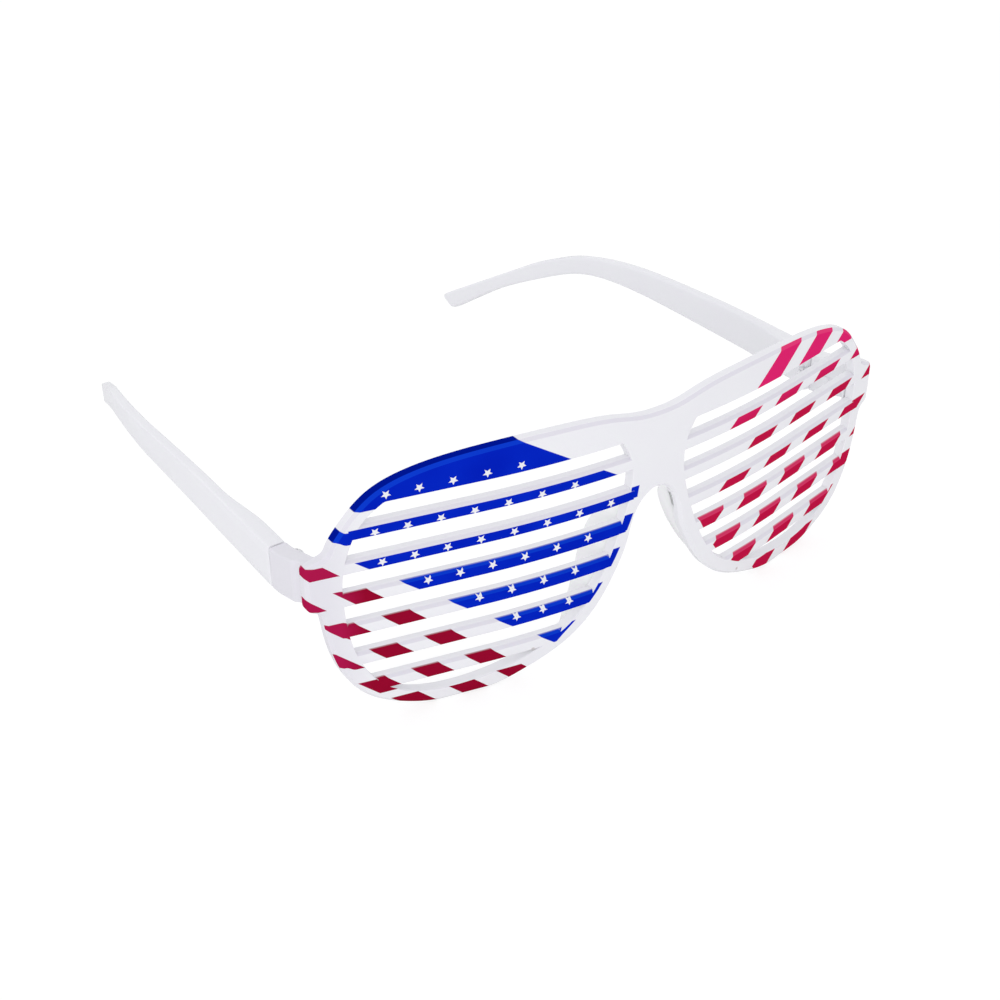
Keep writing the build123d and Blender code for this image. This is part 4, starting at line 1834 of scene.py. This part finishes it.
@dataclass
class Hinges:
    """The hinge leaves, kept from the frame, and their slotted screws."""

    joint: Joint = Joint()
    axis_x: float = 66.65
    bottom: float = 26.6
    length: float = 4.4
    radius: float = 0.6
    head_radius: float = 1.2
    head_height: float = 0.5
    slot_width: float = 0.35
    slot_depth: float = 0.25
    slot_turn: float = 35.0
    slot_reach: float = 3.0
    crown_power: float = 3.0
    crown_narrowing: float = 1.6
    shank_sides: int = 24
    head_sides: int = 48
    head_rings: int = 8

    def head(self, recipe: Recipe) -> Socket:
        """Adds the nodes that make a screw's head.

        Args:
            recipe: The tree.

        Returns:
            The head with its slot, standing on the end of the shank.
        """
        length, height = recipe.size("Shank Length"), recipe.size("Head Height")
        head = recipe.add("GeometryNodeMeshCylinder")
        radius = recipe.size("Head Radius")
        recipe.feed_all(head, {
            "Vertices": self.head_sides, "Radius": radius, "Depth": height,
            "Side Segments": self.head_rings,
        })
        x, y, z = recipe.place()
        up = recipe.math("MAXIMUM", recipe.math("DIVIDE", z, height), 0.0)
        narrowing = recipe.math("POWER", up, recipe.size("Crown Power"))
        narrowing = recipe.math("MULTIPLY", narrowing, recipe.size("Crown Narrowing"))
        share = recipe.math("SUBTRACT", 1.0, narrowing)
        crown = recipe.vector(recipe.math("MULTIPLY", x, share), recipe.math("MULTIPLY", y, share), z)
        rounded = recipe.through("GeometryNodeSetPosition", head.outputs[0], Position=crown)
        lift = recipe.math("ADD", length, recipe.math("MULTIPLY", height, 0.5))
        rounded = recipe.through(
            "GeometryNodeTransform", rounded, Translation=recipe.vector(0.0, 0.0, lift)
        )
        cutter = recipe.add("GeometryNodeMeshCube")
        deep = recipe.math("MULTIPLY", recipe.size("Slot Depth"), 2.0)
        wide = recipe.math("MULTIPLY", radius, recipe.size("Slot Reach"))
        recipe.feed(cutter.inputs["Size"], recipe.vector(wide, recipe.size("Slot Width"), deep))
        top = recipe.math("ADD", length, height)
        slot = recipe.through(
            "GeometryNodeTransform", cutter.outputs[0], Translation=recipe.vector(0.0, 0.0, top),
            Rotation=recipe.vector(0.0, 0.0, recipe.size("Slot Turn")),
        )
        cut = recipe.add("GeometryNodeMeshBoolean", operation="DIFFERENCE", solver="EXACT")
        recipe.feed_all(cut, {"Mesh 1": rounded, "Mesh 2": slot})
        return cut.outputs[0]

    def screw_recipe(self) -> Recipe:
        """Builds the tree that puts a slotted screw on each point.

        Returns:
            The tree.
        """
        recipe = Recipe("hinge screws", {
            "Shank Radius": self.radius, "Shank Length": self.length, "Head Radius": self.head_radius,
            "Head Height": self.head_height, "Slot Width": self.slot_width,
            "Slot Depth": self.slot_depth, "Slot Turn": radians(self.slot_turn),
            "Slot Reach": self.slot_reach, "Crown Power": self.crown_power,
            "Crown Narrowing": self.crown_narrowing,
        })
        length = recipe.size("Shank Length")
        shank = recipe.add("GeometryNodeMeshCylinder")
        radius = recipe.size("Shank Radius")
        recipe.feed_all(shank, {"Vertices": self.shank_sides, "Radius": radius, "Depth": length})
        half = recipe.math("MULTIPLY", length, 0.5)
        shank = recipe.through(
            "GeometryNodeTransform", shank.outputs[0], Translation=recipe.vector(0.0, 0.0, half)
        )
        whole = recipe.add("GeometryNodeJoinGeometry")
        for part in (shank, self.head(recipe)):
            recipe.feed(whole.inputs[0], part)
        spread = recipe.through(
            "GeometryNodeInstanceOnPoints", recipe.size("Geometry"), Instance=whole.outputs[0]
        )
        recipe.finish(recipe.through("GeometryNodeRealizeInstances", spread))
        return recipe

    def build(self, plastic: bpy.types.Material, steel: bpy.types.Material) -> bpy.types.Object:
        """Dresses the leaves and builds the screws.

        Args:
            plastic: The white plastic of the leaves.
            steel: The steel of the screws.

        Returns:
            The screws, one piece on the front.
        """
        for side in Side:
            for leaf in ("front_hinge_leaf", "temple_hinge_leaf"):
                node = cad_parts[f"{side.word}_{leaf}"]
                node.data.materials.clear()
                node.data.materials.append(plastic)
                log.info("%s_%s is dressed", side.word, leaf)
        places = [(side.value * self.axis_x, self.joint.y, self.bottom) for side in Side]
        stock = loose_points("screw_places", places)
        piece = self.screw_recipe().make("hinge_screws", stock, {"Material": steel})
        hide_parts("left_hinge_screw", "right_hinge_screw")
        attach(piece, Body.FRONT.value)
        return piece


@dataclass
class Studio:
    """The floor, the lights and the camera, whose eye is in millimetres."""

    eye: Place = (-164.03, -265.50, 185.23)
    azimuth: float = -34.375
    elevation: float = 31.90
    roll: float = -0.40
    lens: float = 52.42
    film: float = 36.0
    nearest: float = 0.01
    farthest: float = 50.0
    sky: Colour = (0.965, 0.97, 0.992, 1.0)
    sky_strength: float = 0.93
    floor_radius: float = 5.0
    floor_sides: int = 64
    floor_grey: float = 0.86
    seen_grey: float = 0.25
    seen_glow: float = 0.8
    lamp_place: Place = (-0.68, -0.74, 0.22)
    lamp_size: float = 0.5
    lamp_power: float = 1.7

    def camera(self) -> None:
        """Places the camera where the photograph was taken from."""
        data = bpy.data.cameras.new("camera")
        data.lens = self.lens
        data.sensor_width = self.film
        data.clip_start = self.nearest
        data.clip_end = self.farthest
        turn, tilt, roll = radians(self.azimuth), radians(self.elevation), radians(self.roll)
        ahead = Vector((-sin(turn) * cos(tilt), cos(turn) * cos(tilt), -sin(tilt)))
        level = Vector((cos(turn), sin(turn), 0))
        rise = level.cross(ahead)
        right = level * cos(roll) + rise * sin(roll)
        up = rise * cos(roll) - level * sin(roll)
        rows = [(right[i], up[i], -ahead[i], self.eye[i] * MM) for i in range(3)]
        camera = new_object("camera", data)
        camera.matrix_world = Matrix((*rows, (0, 0, 0, 1)))
        bpy.context.scene.camera = camera

    def world(self) -> None:
        """Lights the scene evenly, and shows white to the camera and in clear reflections."""
        world = bpy.data.worlds.new("studio")
        world.use_nodes = True
        nodes = Nodes(world.node_tree)
        light = world.node_tree.nodes["Background"]
        nodes.feed_all(light, {"Color": self.sky, "Strength": self.sky_strength})
        white = nodes.add("ShaderNodeBackground")
        nodes.feed_all(white, {"Color": (1, 1, 1, 1), "Strength": 1.0})
        rays = nodes.add("ShaderNodeLightPath").outputs
        more = nodes.math("ADD", rays["Is Glossy Ray"], rays["Is Transmission Ray"])
        seen = nodes.math("ADD", rays["Is Camera Ray"], more)
        seen.node.use_clamp = True
        mixed = nodes.add("ShaderNodeMixShader")
        for number, value in enumerate((seen, light.outputs[0], white.outputs[0])):
            nodes.feed(mixed.inputs[number], value)
        nodes.feed(world.node_tree.nodes["World Output"].inputs["Surface"], mixed.outputs[0])
        bpy.context.scene.world = world

    def floor(self) -> None:
        """Lays a floor that the camera sees nearly white, and that lights the glasses from below."""
        mesh = bpy.data.meshes.new("floor")
        shell = bmesh.new()
        bmesh.ops.create_circle(
            shell, cap_ends=True, segments=self.floor_sides, radius=self.floor_radius
        )
        shell.to_mesh(mesh)
        shell.free()
        material = bpy.data.materials.new("floor")
        material.use_nodes = True
        nodes = Nodes(material.node_tree)
        material.node_tree.nodes.remove(material.node_tree.nodes["Principled BSDF"])
        chosen = nodes.add("ShaderNodeMixShader")
        nodes.feed(chosen.inputs[0], nodes.add("ShaderNodeLightPath").outputs["Is Camera Ray"])
        for number, grey, glow in ((1, self.floor_grey, 0.0), (2, self.seen_grey, self.seen_glow)):
            plain = nodes.add("ShaderNodeBsdfDiffuse")
            nodes.feed(plain.inputs["Color"], (grey, grey, grey, 1))
            light = nodes.add("ShaderNodeEmission")
            nodes.feed(light.inputs["Strength"], glow)
            both = nodes.add("ShaderNodeAddShader")
            nodes.feed(both.inputs[0], plain.outputs[0])
            nodes.feed(both.inputs[1], light.outputs[0])
            nodes.feed(chosen.inputs[number], both.outputs[0])
        nodes.feed(material.node_tree.nodes["Material Output"].inputs["Surface"], chosen.outputs[0])
        mesh.materials.append(material)
        new_object("floor", mesh)

    def lamp(self) -> None:
        """Hangs a soft square lamp that faces the glasses."""
        data = bpy.data.lights.new("key", "AREA")
        data.size = self.lamp_size
        data.energy = self.lamp_power
        lamp = new_object("key", data)
        lamp.location = self.lamp_place
        lamp.rotation_euler = (-Vector(self.lamp_place)).to_track_quat("-Z", "Y").to_euler()

    def build(self) -> None:
        """Sets the whole studio up."""
        self.camera()
        self.world()
        self.floor()
        self.lamp()
        bpy.context.scene.view_settings.view_transform = "Standard"


def main() -> None:
    """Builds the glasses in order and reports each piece."""
    logging.basicConfig(level=logging.INFO, format="%(name)s: %(message)s")
    Studio().build()
    plain, printed = WhitePlastic().build(), PrintedPlastic().build()
    pieces = [Front().build(printed), Stars().build(WhitePlastic("star_white").build())]
    recipe = Temple(Side.LEFT).recipe()
    pieces += [Temple(side).build(plain, recipe) for side in Side]
    pieces.append(Hinges().build(plain, BrushedSteel("screw_steel").build()))
    for piece in pieces:
        log.info("%s: %d faces", piece.name, len(piece.data.polygons))


if __name__ == "__main__":
    main()
